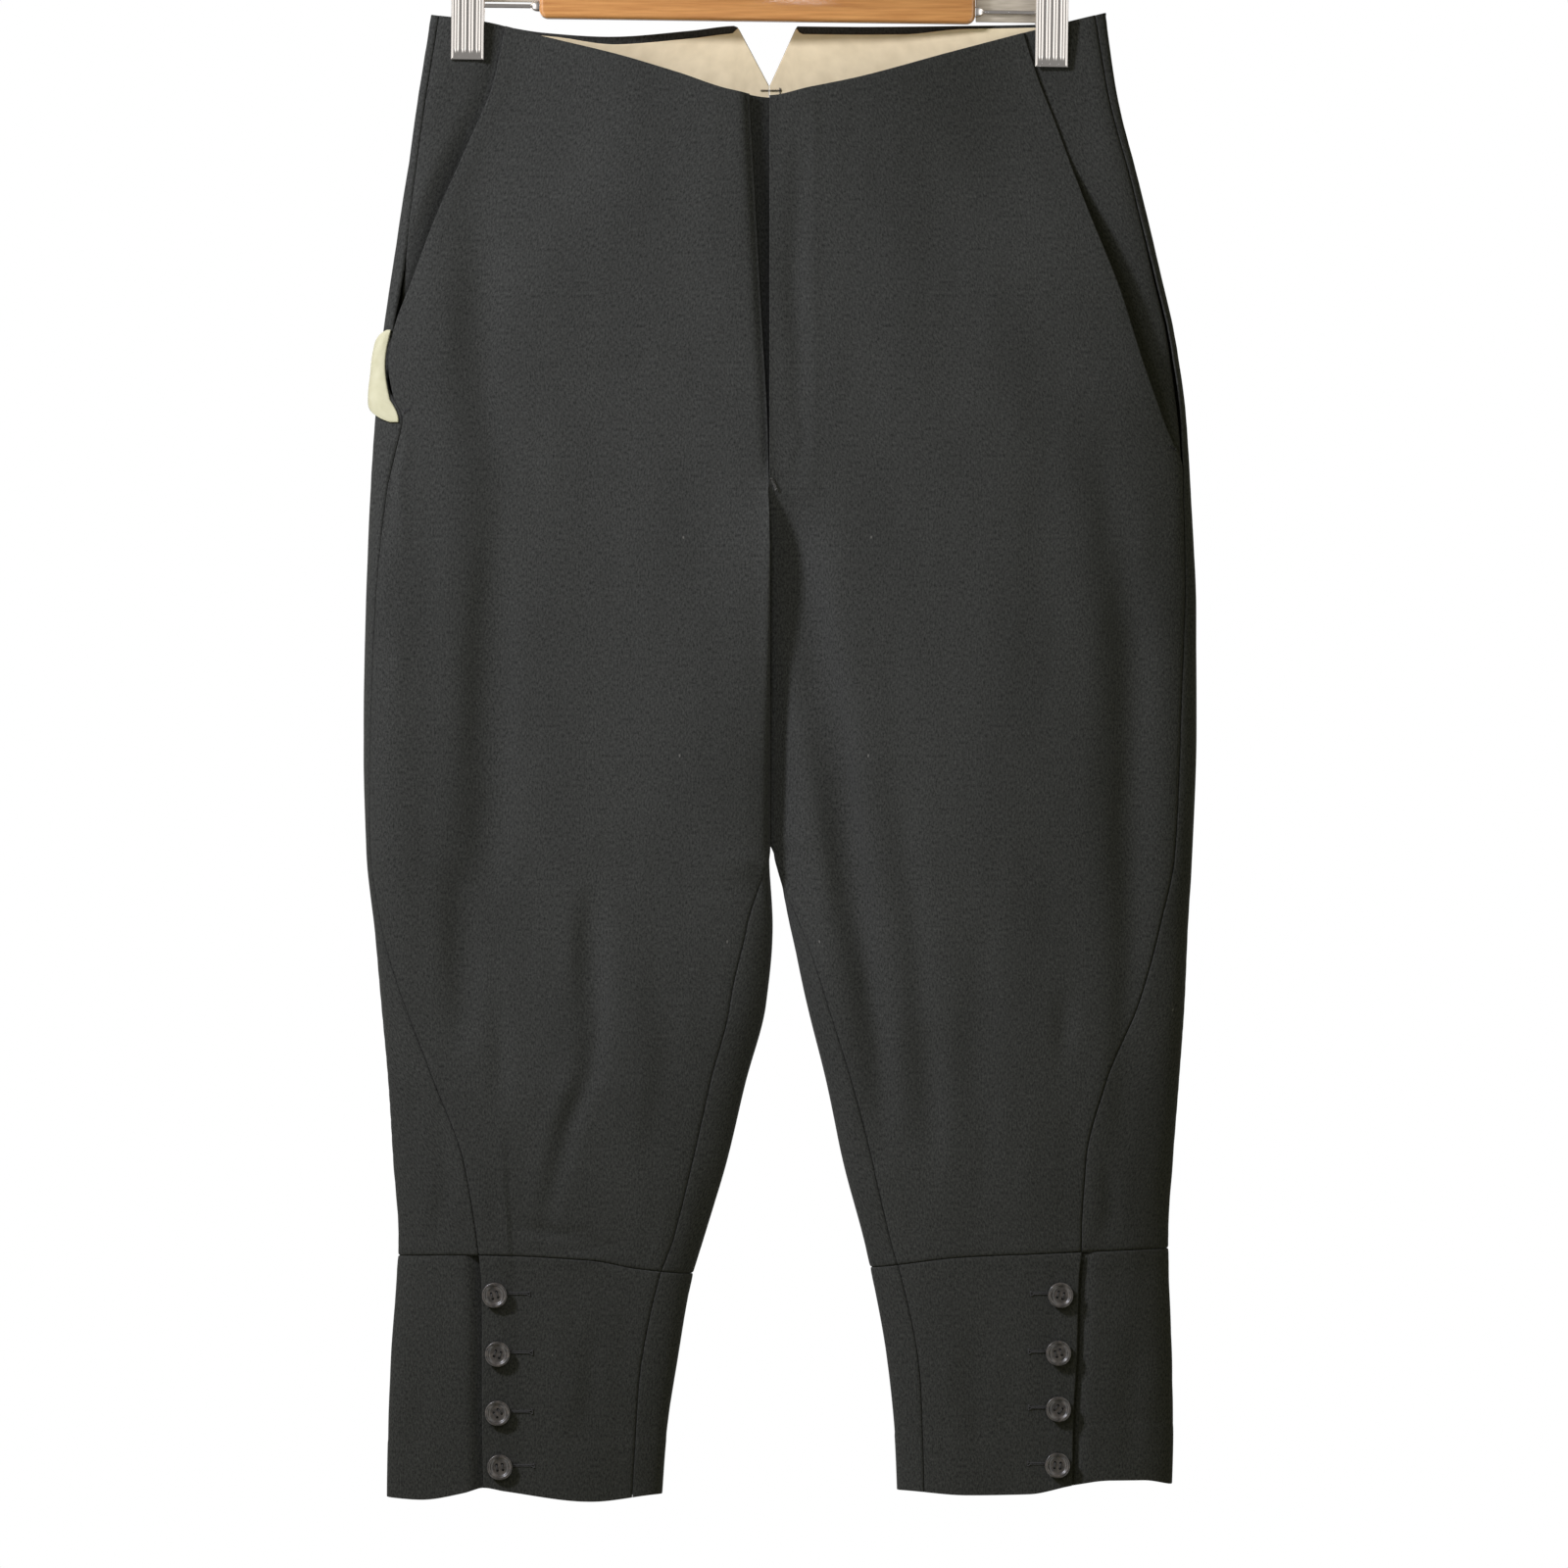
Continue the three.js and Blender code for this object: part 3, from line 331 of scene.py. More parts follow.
def creaseLift(isFront, x, z):
    lift = np.zeros(np.shape(x))
    rows = [(True, *row) for row in frontCreases] + [(False, *row) for row in backCreases]
    for inFront, points, width, deep, besideRise, *other in rows:
        near = np.full(np.shape(x), 1e6)
        along = np.zeros(np.shape(x))
        signed = np.zeros(np.shape(x))
        lengths = [math.dist(a, b) for a, b in zip(points, points[1:])]
        done = 0.0
        for (a, b), length in zip(zip(points, points[1:]), lengths):
            dx, dz = (b[0] - a[0]) / length, (b[1] - a[1]) / length
            run = np.clip((x - a[0]) * dx + (z - a[1]) * dz, 0, length)
            offX, offZ = x - a[0] - run * dx, z - a[1] - run * dz
            away = np.hypot(offX, offZ)
            closer = away < near
            near = np.where(closer, away, near)
            along = np.where(closer, (done + run) / sum(lengths), along)
            signed = np.where(closer, away * np.sign(offX * dz - offZ * dx), signed)
            done += length
        taper = np.sin(math.pi * np.clip(along, 0.02, 0.98)) ** 0.7
        u = near / np.where(signed < 0, other[0] if other else width, width)
        shape = -deep * np.exp(-u * u)
        shape += besideRise * bell(signed / width - 1.9, 0.9)
        lift += np.where(isFront == inFront, shape * taper, 0)
    return lift


def ripple(x, z, seed, waves, span, stretch=1.0):
    # a smooth uneven field of a few waves, its values within about 1
    source = np.random.default_rng(seed)
    total = np.zeros(np.shape(x))
    for _ in range(waves):
        heading = source.uniform(0, 2 * math.pi)
        size = span * source.uniform(0.7, 1.5)
        phase = source.uniform(0, 2 * math.pi)
        total += np.sin((x * math.cos(heading) + z * math.sin(heading) / stretch) * 2 * math.pi / size + phase)
    return total / math.sqrt(waves) * 0.7


# seeds on front and back, waves, span, stretch down the cloth, height
sways = [(11, 12, 7, 62, 4.5, 0.75), (21, 22, 9, 17, 2.2, 0.13)]


def hangingLift(isFront, x, z):
    # the slow sway of cloth that hangs, and its finer unevenness
    total = np.zeros(np.shape(x))
    for frontSeed, backSeed, waves, span, stretch, height in sways:
        front, back = (ripple(x, z, seed, waves, span, stretch) for seed in (frontSeed, backSeed))
        total = total + height * np.where(isFront, front, back)
    return total * (1 - 0.75 * pressed(x, z))


def onFront(turn):
    return np.where(turn > 1, turn - 1, turn) <= 0.5


def looseLift(turn, base):
    # creases and sway, which die out at the folds and under the clips
    x, z, isFront = base[..., 0], base[..., 2], onFront(turn)
    bulge = np.minimum(1, np.abs(np.sin(2 * math.pi * turn)) * 3)
    return (creaseLift(isFront, x, z) + hangingLift(isFront, x, z)) * bulge * (1 - pressed(x, z))


# cloth pieces
edgeLoops = [0, 0.1, 0.3, 0.6, 1.1, 2, 3.4, 5.2]  # mm from an edge


def spread(length, step):
    # places along a length: close loops at both ends and even ones between
    start = np.array([e for e in edgeLoops if e < length * 0.35])
    count = max(2, int(round((length - 2 * start[-1]) / step)))
    middle = np.linspace(start[-1], length - start[-1], count + 1)[1:-1]
    return np.concatenate([start, middle, length - start[::-1]])


def rolled(distance, radius):
    # how far a rounded edge falls away within its radius
    inside = np.clip(distance, 0, radius)
    return np.sqrt(np.maximum(radius ** 2 - (radius - inside) ** 2, 0)) - radius


def primitive(add, **settings):
    add(**settings)
    return bpy.context.active_object


def pick(piece):
    # the only one selected, and the active one
    bpy.ops.object.select_all(action="DESELECT")
    piece.select_set(True)
    bpy.context.view_layer.objects.active = piece


def gridMesh(name, outer, inner, uv):
    # a closed wall between two grids of points, made from one flat grid primitive
    rows, columns = outer.shape[:2]
    piece = primitive(bpy.ops.mesh.primitive_grid_add, x_subdivisions=columns - 1, y_subdivisions=rows - 1, size=1)
    piece.name = name
    flat = piece.data
    count = rows * columns
    index = np.arange(count).reshape(rows, columns)
    quads = np.stack([index[:-1, :-1], index[1:, :-1], index[1:, 1:], index[:-1, 1:]], -1).reshape(-1, 4)
    back = quads[:, ::-1] + count
    ring = np.concatenate([index[0, :], index[1:, -1], index[-1, -2::-1], index[-2:0:-1, 0]])
    after = np.roll(ring, -1)
    rim = np.stack([ring, after, after + count, ring + count], -1)
    faces = np.concatenate([quads, back, rim])
    points = np.concatenate([outer.reshape(-1, 3), inner.reshape(-1, 3)]) * mm
    corners = points[faces[:, :3]]
    volume = np.einsum("ij,ij->", corners[:, 0], np.cross(corners[:, 1], corners[:, 2]))
    if volume < 0:
        faces = faces[:, ::-1]
    mesh = bpy.data.meshes.new(name)
    mesh.from_pydata(points.tolist(), [], faces.tolist())
    layer = mesh.uv_layers.new(name="cloth")
    uvs = np.concatenate([uv.reshape(-1, 2), uv.reshape(-1, 2)]) * mm
    layer.data.foreach_set("uv", uvs[faces.reshape(-1)].reshape(-1))
    mesh.polygons.foreach_set("use_smooth", np.ones(len(faces), bool))
    piece.data = mesh
    piece.location = (0, 0, 0)
    bpy.data.meshes.remove(flat)
    return piece


def alongGrid(points, axis):
    # how far each point of a grid lies along its row or column
    run = np.cumsum(np.linalg.norm(np.diff(points, axis=axis), axis=-1), axis=axis)
    start = np.zeros((1, run.shape[1]) if axis == 0 else (len(run), 1))
    return np.concatenate([start, run], axis=axis)


def measured(outer):
    # the area of a grid of points, its greatest width and length, in metres
    cross = np.cross(outer[1:, :-1] - outer[:-1, :-1], outer[:-1, 1:] - outer[:-1, :-1])
    area = float(np.sum(np.linalg.norm(cross, axis=-1))) * mm * mm
    width = float(np.linalg.norm(np.diff(outer, axis=1), axis=-1).sum(axis=1).max()) * mm
    length = float(np.linalg.norm(np.diff(outer, axis=0), axis=-1).sum(axis=0).max()) * mm
    return area, width, length


# how a panel is laid: samples and rounds that find its rows, the share of its width where the close loops give
# way to even columns, the row widths that allow that, and the rounding of a cut edge in thicknesses
laying = {"samples": 110, "rounds": 7, "startX": -300.0, "share": 0.12, "narrow": (0.5, 1.8), "rounding": 0.42}


def clothPanel(spec):
    # builds one cut piece from its panel's sides, its level rows and what lies along its edges
    half, level = spec["half"], spec["level"]
    vs = spread(spec["length"], spec["rowStep"]) / spec["length"]
    v, w = np.meshgrid(vs, np.linspace(0, 1, laying["samples"]), indexing="ij")
    z = level(v, np.full(v.shape, half["inner"](laying["startX"])))
    for _ in range(laying["rounds"]):
        turn = blendTo(spec["from"](z), spec["to"](z), w)
        z = level(v, surface(half, turn, z)[..., 0])
    run = alongGrid(surface(half, turn, z), 1)
    width, usual = run[:, -1], np.median(run[:, -1])
    columns = spread(usual, spec["columnStep"]) / usual
    share, (narrowest, widest) = laying["share"], laying["narrow"]
    inward = smooth(0.0, share, columns) * smooth(1.0, 1 - share, columns)
    outTurn = np.empty((len(vs), len(columns)))
    outZ, outRun = np.empty_like(outTurn), np.empty_like(outTurn)
    for i in range(len(vs)):
        # the close loops keep their distance in millimetres however wide the row is
        close = np.where(columns < 0.5, columns * usual, width[i] - (1 - columns) * usual)
        place = columns * width[i]
        if narrowest < usual / width[i] < widest:
            place = blendTo(close, place, inward)
        outRun[i] = place
        outTurn[i] = np.interp(place, run[i], turn[i])
        outZ[i] = np.interp(place, run[i], z[i])
    base = surface(half, outTurn, outZ)
    normal = surfaceNormal(half, outTurn, outZ)
    lift = looseLift(outTurn, base)
    if "lift" in spec:
        lift = lift + spec["lift"](outTurn, outZ)
    down = alongGrid(base, 0)
    edges = {"from": outRun, "to": width[:, None] - outRun, "top": down, "foot": down[-1] - down}
    thickness = spec.get("thickness", form["cloth"])
    fall = np.zeros(lift.shape)
    for side, distance in edges.items():
        lift = lift + spec["edges"][side](distance, base[..., 0], outZ)
        fall = np.minimum(fall, rolled(distance, thickness * laying["rounding"]))
    if "across" in spec:
        side, reach = spec["across"]
        base = base + reach(edges[side], base, onFront(outTurn))
    outer = base + normal * (lift + fall)[..., None]
    inner = base + normal * (lift - thickness - fall)[..., None]
    uv = np.stack([outRun - width[:, None] / 2, outZ], axis=-1)
    return gridMesh(spec["name"], outer, inner, uv), measured(base)


def warpedLevel(top, foot):
    def level(v, x):
        flat = blendTo(form["waistZ"], form["kneeZ"], v)
        nearTop = np.clip(1 - (form["waistZ"] - flat) / form["warpReach"], 0, 1)
        nearFoot = np.clip(1 - (flat - form["kneeZ"]) / form["warpReach"], 0, 1)
        return flat + (top(x) - form["waistZ"]) * nearTop + (foot(x) - form["kneeZ"]) * nearFoot

    return level


def evenLevel(top, foot):
    return lambda v, x: blendTo(top(x), foot(x), v)


def flatAt(z):
    return lambda x: np.full(np.shape(x), float(z))


def tableOf(value):
    # a slow function of the height, kept as a table
    heights = np.arange(-962, -84, 0.5)
    kept = value(heights)
    return lambda z: np.interp(z, heights, kept)


def frontSideTurn(half):
    # the front's outer side: the pocket's mouth and the side seam under it
    def value(z):
        pocket, seam = turnAtX(half, z, half["pocketX"](z)), sideTurn(half, z)
        return np.where(z > half["pocketFootZ"], np.minimum(pocket, seam), seam)

    return tableOf(value)


# where a pocket's mouth starts to hang open and is fully open, its closing above the foot, and its reach across
mouthSize = {"left": (-172, -225), "right": (-130, -190), "foot": (4, 48), "reach": 64}


def openMouth(half, z):
    # how far the pocket's mouth hangs open, down its length
    low, high = mouthSize["foot"]
    foot = half["pocketFootZ"]
    return smooth(*mouthSize[half["name"]], z) * smooth(foot + low, foot + high, z)


def mouthLift(half, gape):
    def lift(turn, z):
        x = surface(half, turn, z)[..., 0]
        return gape * openMouth(half, z) * smooth(mouthSize["reach"], 0, np.abs(x - half["pocketX"](z)))

    return lift


# materials
def linear(text):
    parts = [int(text[i:i + 2], 16) / 255 for i in (1, 3, 5)]
    return tuple(c / 12.92 if c <= 0.04045 else ((c + 0.055) / 1.055) ** 2.4 for c in parts) + (1.0,)


def addNode(tree, kind, settings=None, links=None):
    made = tree.nodes.new(kind)
    for key, value in (settings or {}).items():
        if isinstance(key, int) or key in made.inputs:
            made.inputs[key].default_value = value
        else:
            setattr(made, key, value)
    for key, source in (links or {}).items():
        tree.links.new(source, made.inputs[key])
    return made


def newMaterial(name, **settings):
    material = bpy.data.materials.new(name)
    material.use_nodes = True
    tree = material.node_tree
    shader = tree.nodes["Principled BSDF"]
    for key, value in settings.items():
        shader.inputs[key.replace("_", " ")].default_value = value
    return material, tree, shader


def sizedNoise(tree, place, size, detail=2.0, rough=0.5):
    # noise whose cells are size millimetres
    settings = {"Scale": 1 / size, "Detail": detail, "Roughness": rough}
    return addNode(tree, "ShaderNodeTexNoise", settings, {"Vector": place}).outputs[0]


def mixed(tree, low, high, value, dark, light):
    # a colour between two, as a value goes from low to high
    share = addNode(tree, "ShaderNodeMapRange", {"From Min": low, "From Max": high}, {"Value": value})
    settings = {"data_type": "RGBA", 6: dark, 7: light}
    return addNode(tree, "ShaderNodeMix", settings, {0: share.outputs[0]}).outputs[2]


def multiplied(tree, first, second):
    settings = {"data_type": "RGBA", "blend_type": "MULTIPLY", 0: 1.0}
    return addNode(tree, "ShaderNodeMix", settings, {6: first, 7: second}).outputs[2]


def scaled(tree, source, by):
    return addNode(tree, "ShaderNodeVectorMath", {"operation": "MULTIPLY", 1: by}, {0: source}).outputs[0]


def ranged(tree, value, low, high):
    return addNode(tree, "ShaderNodeMapRange", {"To Min": low, "To Max": high}, {"Value": value}).outputs[0]


def bumped(tree, height, strength, distance):
    settings = {"Strength": strength, "Distance": distance}
    return addNode(tree, "ShaderNodeBump", settings, {"Height": height}).outputs[0]


def clothPlace(tree, along=1.0):
    # millimetres along the cloth, drawn out down the cloth where along is below 1
    uv = addNode(tree, "ShaderNodeUVMap", {"uv_map": "cloth"})
    return scaled(tree, uv.outputs[0], (1000, 1000 * along, 1000))


def objectPlace(tree):
    return addNode(tree, "ShaderNodeTexCoord").outputs["Object"]


def grey(level):
    return (level, level, level, 1)


def woolMaterial(name, dark, light, fleck):
    # worsted wool: matt twisted yarn in near shades that the eye blends, with a few pale hairs
    material, tree, shader = newMaterial(name, Roughness=0.9, Specular_IOR_Level=0.06, Sheen_Weight=0.06,
                                         Sheen_Roughness=0.45)
    grain = {"drawn": 0.5, "slubDrawn": 0.16, "yarn": 0.95, "slub": 0.9, "slubShare": 0.22, "range": (0.4, 0.82)}
    cloud = {"size": 46.0, "range": (0.3, 0.7), "dark": grey(0.93), "light": grey(1.07)}
    hair, hairsApart = {"From Min": 0.02, "From Max": 0.01, "To Max": 0.4}, 30
    place, drawn = clothPlace(tree, grain["drawn"]), clothPlace(tree, grain["slubDrawn"])
    yarn = sizedNoise(tree, place, grain["yarn"], 3.0, 0.7)
    slub = sizedNoise(tree, drawn, grain["slub"], 2.0, 0.6)
    both = addNode(tree, "ShaderNodeMath", {"operation": "MULTIPLY_ADD", 1: grain["slubShare"]},
                   {0: slub, 2: yarn}).outputs[0]
    shade = mixed(tree, *grain["range"], both, linear(dark), linear(light))
    clouds = mixed(tree, *cloud["range"], sizedNoise(tree, place, cloud["size"], 3.0), cloud["dark"], cloud["light"])
    lint = addNode(tree, "ShaderNodeTexVoronoi", {"Scale": 1 / hairsApart}, {"Vector": place})
    specks = addNode(tree, "ShaderNodeMapRange", hair, {"Value": lint.outputs["Distance"]})
    color = addNode(tree, "ShaderNodeMix", {"data_type": "RGBA", 7: linear(fleck)},
                    {0: specks.outputs[0], 6: multiplied(tree, shade, clouds)})
    tree.links.new(color.outputs[2], shader.inputs["Base Color"])
    tree.links.new(bumped(tree, both, 0.25, 0.0002), shader.inputs["Normal"])
    return material


def cottonMaterial(name, dark, light):
    # plain-woven cotton: flat matt threads, a little uneven, that show soft rumples
    material, tree, shader = newMaterial(name, Roughness=0.85, Specular_IOR_Level=0.25)
    size = {"thread": 0.6, "rumple": 9.0}
    place = clothPlace(tree)
    color = mixed(tree, 0.3, 0.7, sizedNoise(tree, place, size["rumple"]), linear(dark), linear(light))
    tree.links.new(color, shader.inputs["Base Color"])
    threads = sizedNoise(tree, place, size["thread"])
    tree.links.new(bumped(tree, threads, 0.3, 0.0001), shader.inputs["Normal"])
    return material


def woodMaterial(name):
    # varnished beech: fine long grain under a clear glossy coat
    material, tree, shader = newMaterial(name, Roughness=0.42, Coat_Weight=0.85, Coat_Roughness=0.06)
    size = {"grain": 1.6, "growth": 9.0, "alongGrain": 45, "dimple": 1 / 900}
    spot = objectPlace(tree)
    drawn = scaled(tree, spot, (size["alongGrain"], 1000, 1000))
    fine = mixed(tree, 0.32, 0.68, sizedNoise(tree, drawn, size["grain"], 4.0, 0.6),
                 linear("#bb7b3c"), linear("#db9c58"))
    wide = mixed(tree, 0.3, 0.7, sizedNoise(tree, drawn, size["growth"]), (0.86, 0.84, 0.8, 1), grey(1.05))
    tree.links.new(multiplied(tree, fine, wide), shader.inputs["Base Color"])
    dimples = sizedNoise(tree, spot, size["dimple"], 1.0)
    tree.links.new(bumped(tree, dimples, 0.25, 0.00005), shader.inputs["Coat Normal"])
    return material


def chromeMaterial(name):
    # chrome-plated steel: a bright mirror, very slightly uneven from handling
    material, tree, shader = newMaterial(name, Metallic=1.0, Base_Color=linear("#cdc7c1"))
    worn = sizedNoise(tree, objectPlace(tree), 1 / 180)
    tree.links.new(ranged(tree, worn, 0.08, 0.22), shader.inputs["Roughness"])
    return material


def satinMaterial(name):
    # brushed strip steel: a pale soft shine drawn out along the strip
    material, tree, shader = newMaterial(name, Metallic=1.0)
    lines = sizedNoise(tree, scaled(tree, objectPlace(tree), (60, 1000, 1000)), 0.7)
    color = mixed(tree, 0.3, 0.7, lines, linear("#a89f8f"), linear("#bdb3a3"))
    tree.links.new(color, shader.inputs["Base Color"])
    tree.links.new(ranged(tree, lines, 0.5, 0.62), shader.inputs["Roughness"])
    return material


def resinMaterial(name):
    # polyester resin buttons: near black, smooth and a little cloudy
    material, tree, shader = newMaterial(name, Roughness=0.3)
    cloudy = sizedNoise(tree, objectPlace(tree), 1 / 420)
    color = mixed(tree, 0.35, 0.7, cloudy, linear("#2c2926"), linear("#544d47"))
    tree.links.new(color, shader.inputs["Base Color"])
    return material


wool = woolMaterial("charcoal worsted wool", "#20201f", "#474744", "#8c8983")
creamCotton = cottonMaterial("cream plain-weave cotton", "#e2d0ad", "#eedcb9")
bagCotton = cottonMaterial("unbleached pocketing cotton", "#c0bb9b", "#ccc7a9")
beech = woodMaterial("varnished beech")
chrome = chromeMaterial("chrome-plated steel")
satin = satinMaterial("brushed strip steel")
resin = resinMaterial("black polyester resin")
# polyester sewing thread: matt, tightly twisted, a shade darker than the cloth, and the same in pale grey
darkThread = newMaterial("charcoal sewing thread", Roughness=0.7, Base_Color=linear("#242322"))[0]
paleThread = newMaterial("grey sewing thread", Roughness=0.7, Base_Color=linear("#77746f"))[0]


# how the cloth lies along each kind of edge: heights, and the distances from the edge where they start and end
seamLie = {"ditch": -0.85, "ditchWidth": 0.66, "heldUp": 0.77, "allowance": 0.12, "starts": (0.8, 2.6),
           "ends": (11.5, 8.5), "pucker": 0.12, "puckerReach": 7}
foldLie = {"step": 0.24, "ends": (9.5, 7.5), "wave": 0.1, "waveReach": 8}
placketLie = {"step": 0.5, "ends": (13, 11), "lip": 0.25, "lipReach": 5}
hemLie = {"step": 0.2, "ends": (34, 32.4), "stitchAt": 33.2, "stitchWidth": 0.9}
flyLie = {"step": 0.35, "ends": (30, 27), "stitch": 0.15, "stitchAt": 28.5, "stitchWidth": 1.6,
          "rolledIn": -3.2, "rollReach": 3.4}
legLie = {"over": 0.25, "overReach": 5, "under": -0.3, "underReach": 3}
# the heights over which one kind of edge gives way to the one above it
changes = {"crotch": (-600, -575), "centreBack": (-420, -380), "flyUnder": (-376, -340), "flyOver": (-378, -362),
         "pocketFoot": (-2, 4)}


# in these, d is the distance from the edge in millimetres
def plainEdge(d, x, z):
    return np.zeros(np.shape(d))


def seamEdge(d, x, z):
    # drops into the seam over the pressed allowance beside it, puckered a little by the thread
    ditch = seamLie["ditch"] * bell(d, seamLie["ditchWidth"])
    allowance = seamLie["allowance"] * smooth(*seamLie["starts"], d) * smooth(*seamLie["ends"], d)
    pucker = seamLie["pucker"] * bell(d, seamLie["puckerReach"]) * ripple(x * 0.4, z, 31, 7, 13)
    return ditch + allowance + pucker


def levelSeamEdge(d, x, z):
    # the other side of a seam, which its allowances hold up
    return seamEdge(d, x, z) + seamLie["heldUp"] * bell(d, seamLie["ditchWidth"])


def foldedEdge(d, x, z):
    # two layers, turned back and pressed
    wave = foldLie["wave"] * bell(d, foldLie["waveReach"]) * ripple(x, z, 32, 6, 26)
    return foldLie["step"] * smooth(*foldLie["ends"], d) + wave


def placketEdge(d, x, z):
    # the cuff's doubled opening edge, which stands a little off the stand under it
    return placketLie["step"] * smooth(*placketLie["ends"], d) + placketLie["lip"] * bell(d, placketLie["lipReach"])


def hemEdge(d, x, z):
    # the turned-up hem, and the shallow line of its stitching
    stitched = hemLie["step"] * bell(d - hemLie["stitchAt"], hemLie["stitchWidth"])
    return hemLie["step"] * smooth(*hemLie["ends"], d) - stitched


def pocketSideEdge(half):
    # the seam below the pocket's foot, the folded mouth above it
    low, high = (half["pocketFootZ"] + step for step in changes["pocketFoot"])
    seam = levelSeamEdge if half is right else seamEdge
    return lambda d, x, z: blendTo(seam(d, x, z), foldedEdge(d, x, z), smooth(low, high, z))


def overEdge(d, x, z, seam=seamEdge):
    # below the crotch an inner seam; above it the right leg's fold lies on the left one's
    return blendTo(seam(d, x, z), legLie["over"] * bell(d, legLie["overReach"]), smooth(*changes["crotch"], z))


def tuckedEdge(d, x, z, seam=levelSeamEdge):
    return blendTo(seam(d, x, z), legLie["under"] * bell(d, legLie["underReach"]), smooth(*changes["crotch"], z))


def centreEdge(half):
    # the back's centre seam turns into the same two folds lower down
    lower, seam = (overEdge, levelSeamEdge) if half is right else (tuckedEdge, seamEdge)
    return lambda d, x, z: blendTo(lower(d, x, z, seam), seamEdge(d, x, z), smooth(*changes["centreBack"], z))


def flyUnderEdge(d, x, z):
    # the wearer's right front rolls in under the left at the fly
    rolledIn = flyLie["rolledIn"] * bell(d, flyLie["rollReach"])
    return blendTo(overEdge(d, x, z), rolledIn, smooth(*changes["flyUnder"], z))


def flyOverEdge(d, x, z):
    # the crisp edge of the fly and the topstitched step of its facing
    stitched = flyLie["stitch"] * bell(d - flyLie["stitchAt"], flyLie["stitchWidth"])
    return blendTo(tuckedEdge(d, x, z), flyLie["step"] * smooth(*flyLie["ends"], d) - stitched,
                   smooth(*changes["flyOver"], z))


# heights over which the legs' folds start and end, how far each goes across and out, and within what distance
crossing = {
    "front": (-352, -405), "back": (-385, -410), "rightFoot": (-592, -572), "leftFoot": (-640, -572),
    "over": 0.5, "overReach": 2.5, "proud": 3.6, "proudReach": 24, "lip": 1.2, "lipReach": 5,
    "under": -2.6, "underReach": 4, "drop": 5.6, "dropFrom": (44, 10), "dropShare": 0.5,
}


def reachAcross(half):
    # between crotch and fly the right leg's fold stands proud and the left one's lies low and reaches under it
    def reach(d, base, isFront):
        z, deep = base[..., 2], np.abs(base[..., 1])
        above = smooth(*crossing[half["name"] + "Foot"], z)
        legs = above * np.where(isFront, smooth(*crossing["front"], z), smooth(*crossing["back"], z))
        if half is right:
            across = crossing["over"] * bell(d, crossing["overReach"])
            out = crossing["proud"] * bell(d, crossing["proudReach"])
            out = out + crossing["lip"] * bell(d, crossing["lipReach"])
        else:
            across = crossing["under"] * bell(d, crossing["underReach"])
            out = -np.minimum(crossing["drop"] * smooth(*crossing["dropFrom"], d), crossing["dropShare"] * deep)
        return np.stack([across * legs, np.where(isFront, -1, 1) * out * legs, 0 * z], axis=-1)

    return reach


# the cut pieces
def dressed(piece, node=None):
    # rides on the part's one body, in place of a solid where it has one
    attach(piece, "root")
    if node:
        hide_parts(node)


def addSheet(node, piece, sizes, restsOn, material=wool, slot="charcoal_cloth"):
    piece.data.materials.append(material)
    dressed(piece, node)


def addPanel(node, spec, *rest):
    addSheet(node, *clothPanel({**spec, "name": "cloth_" + node}), *rest)


# the outer cloth turned in over the facing's top: how deep, less at the sides, and how little at the notch
turnedIn = {"deep": 4.5, "less": 2.6, "side": (82, 118), "atNotch": 0.4, "notchEdge": (1.12, 0.98)}


def facingTop(x):
    # below the turned-in band of outer cloth, but right up to the edge of the notch
    reach = np.where(x < form["centreX"], form["notchRight"], form["notchLeft"])
    inNotch = smooth(*turnedIn["notchEdge"], np.abs(x - form["centreX"]) / reach)
    band = turnedIn["deep"] - turnedIn["less"] * smooth(*turnedIn["side"], np.abs(x))
    return backWaistZ(x) - blendTo(band, turnedIn["atNotch"], inNotch)


# how the pieces under an edge dip: lowered by, open mouth's share, fading from and to, a groove and its width
hipDip = {
    "right": {"low": 1.4, "open": 3.0, "fade": (2, 15), "groove": 1.9, "width": 3},
    "left": {"low": 1.4, "open": 3.0, "fade": (2, 38), "groove": 0, "width": 3},
}
standDip = {"right": {"groove": 2.8, "width": 5}, "left": {"groove": 0.8, "width": 2.5}, "fade": (0, 10)}


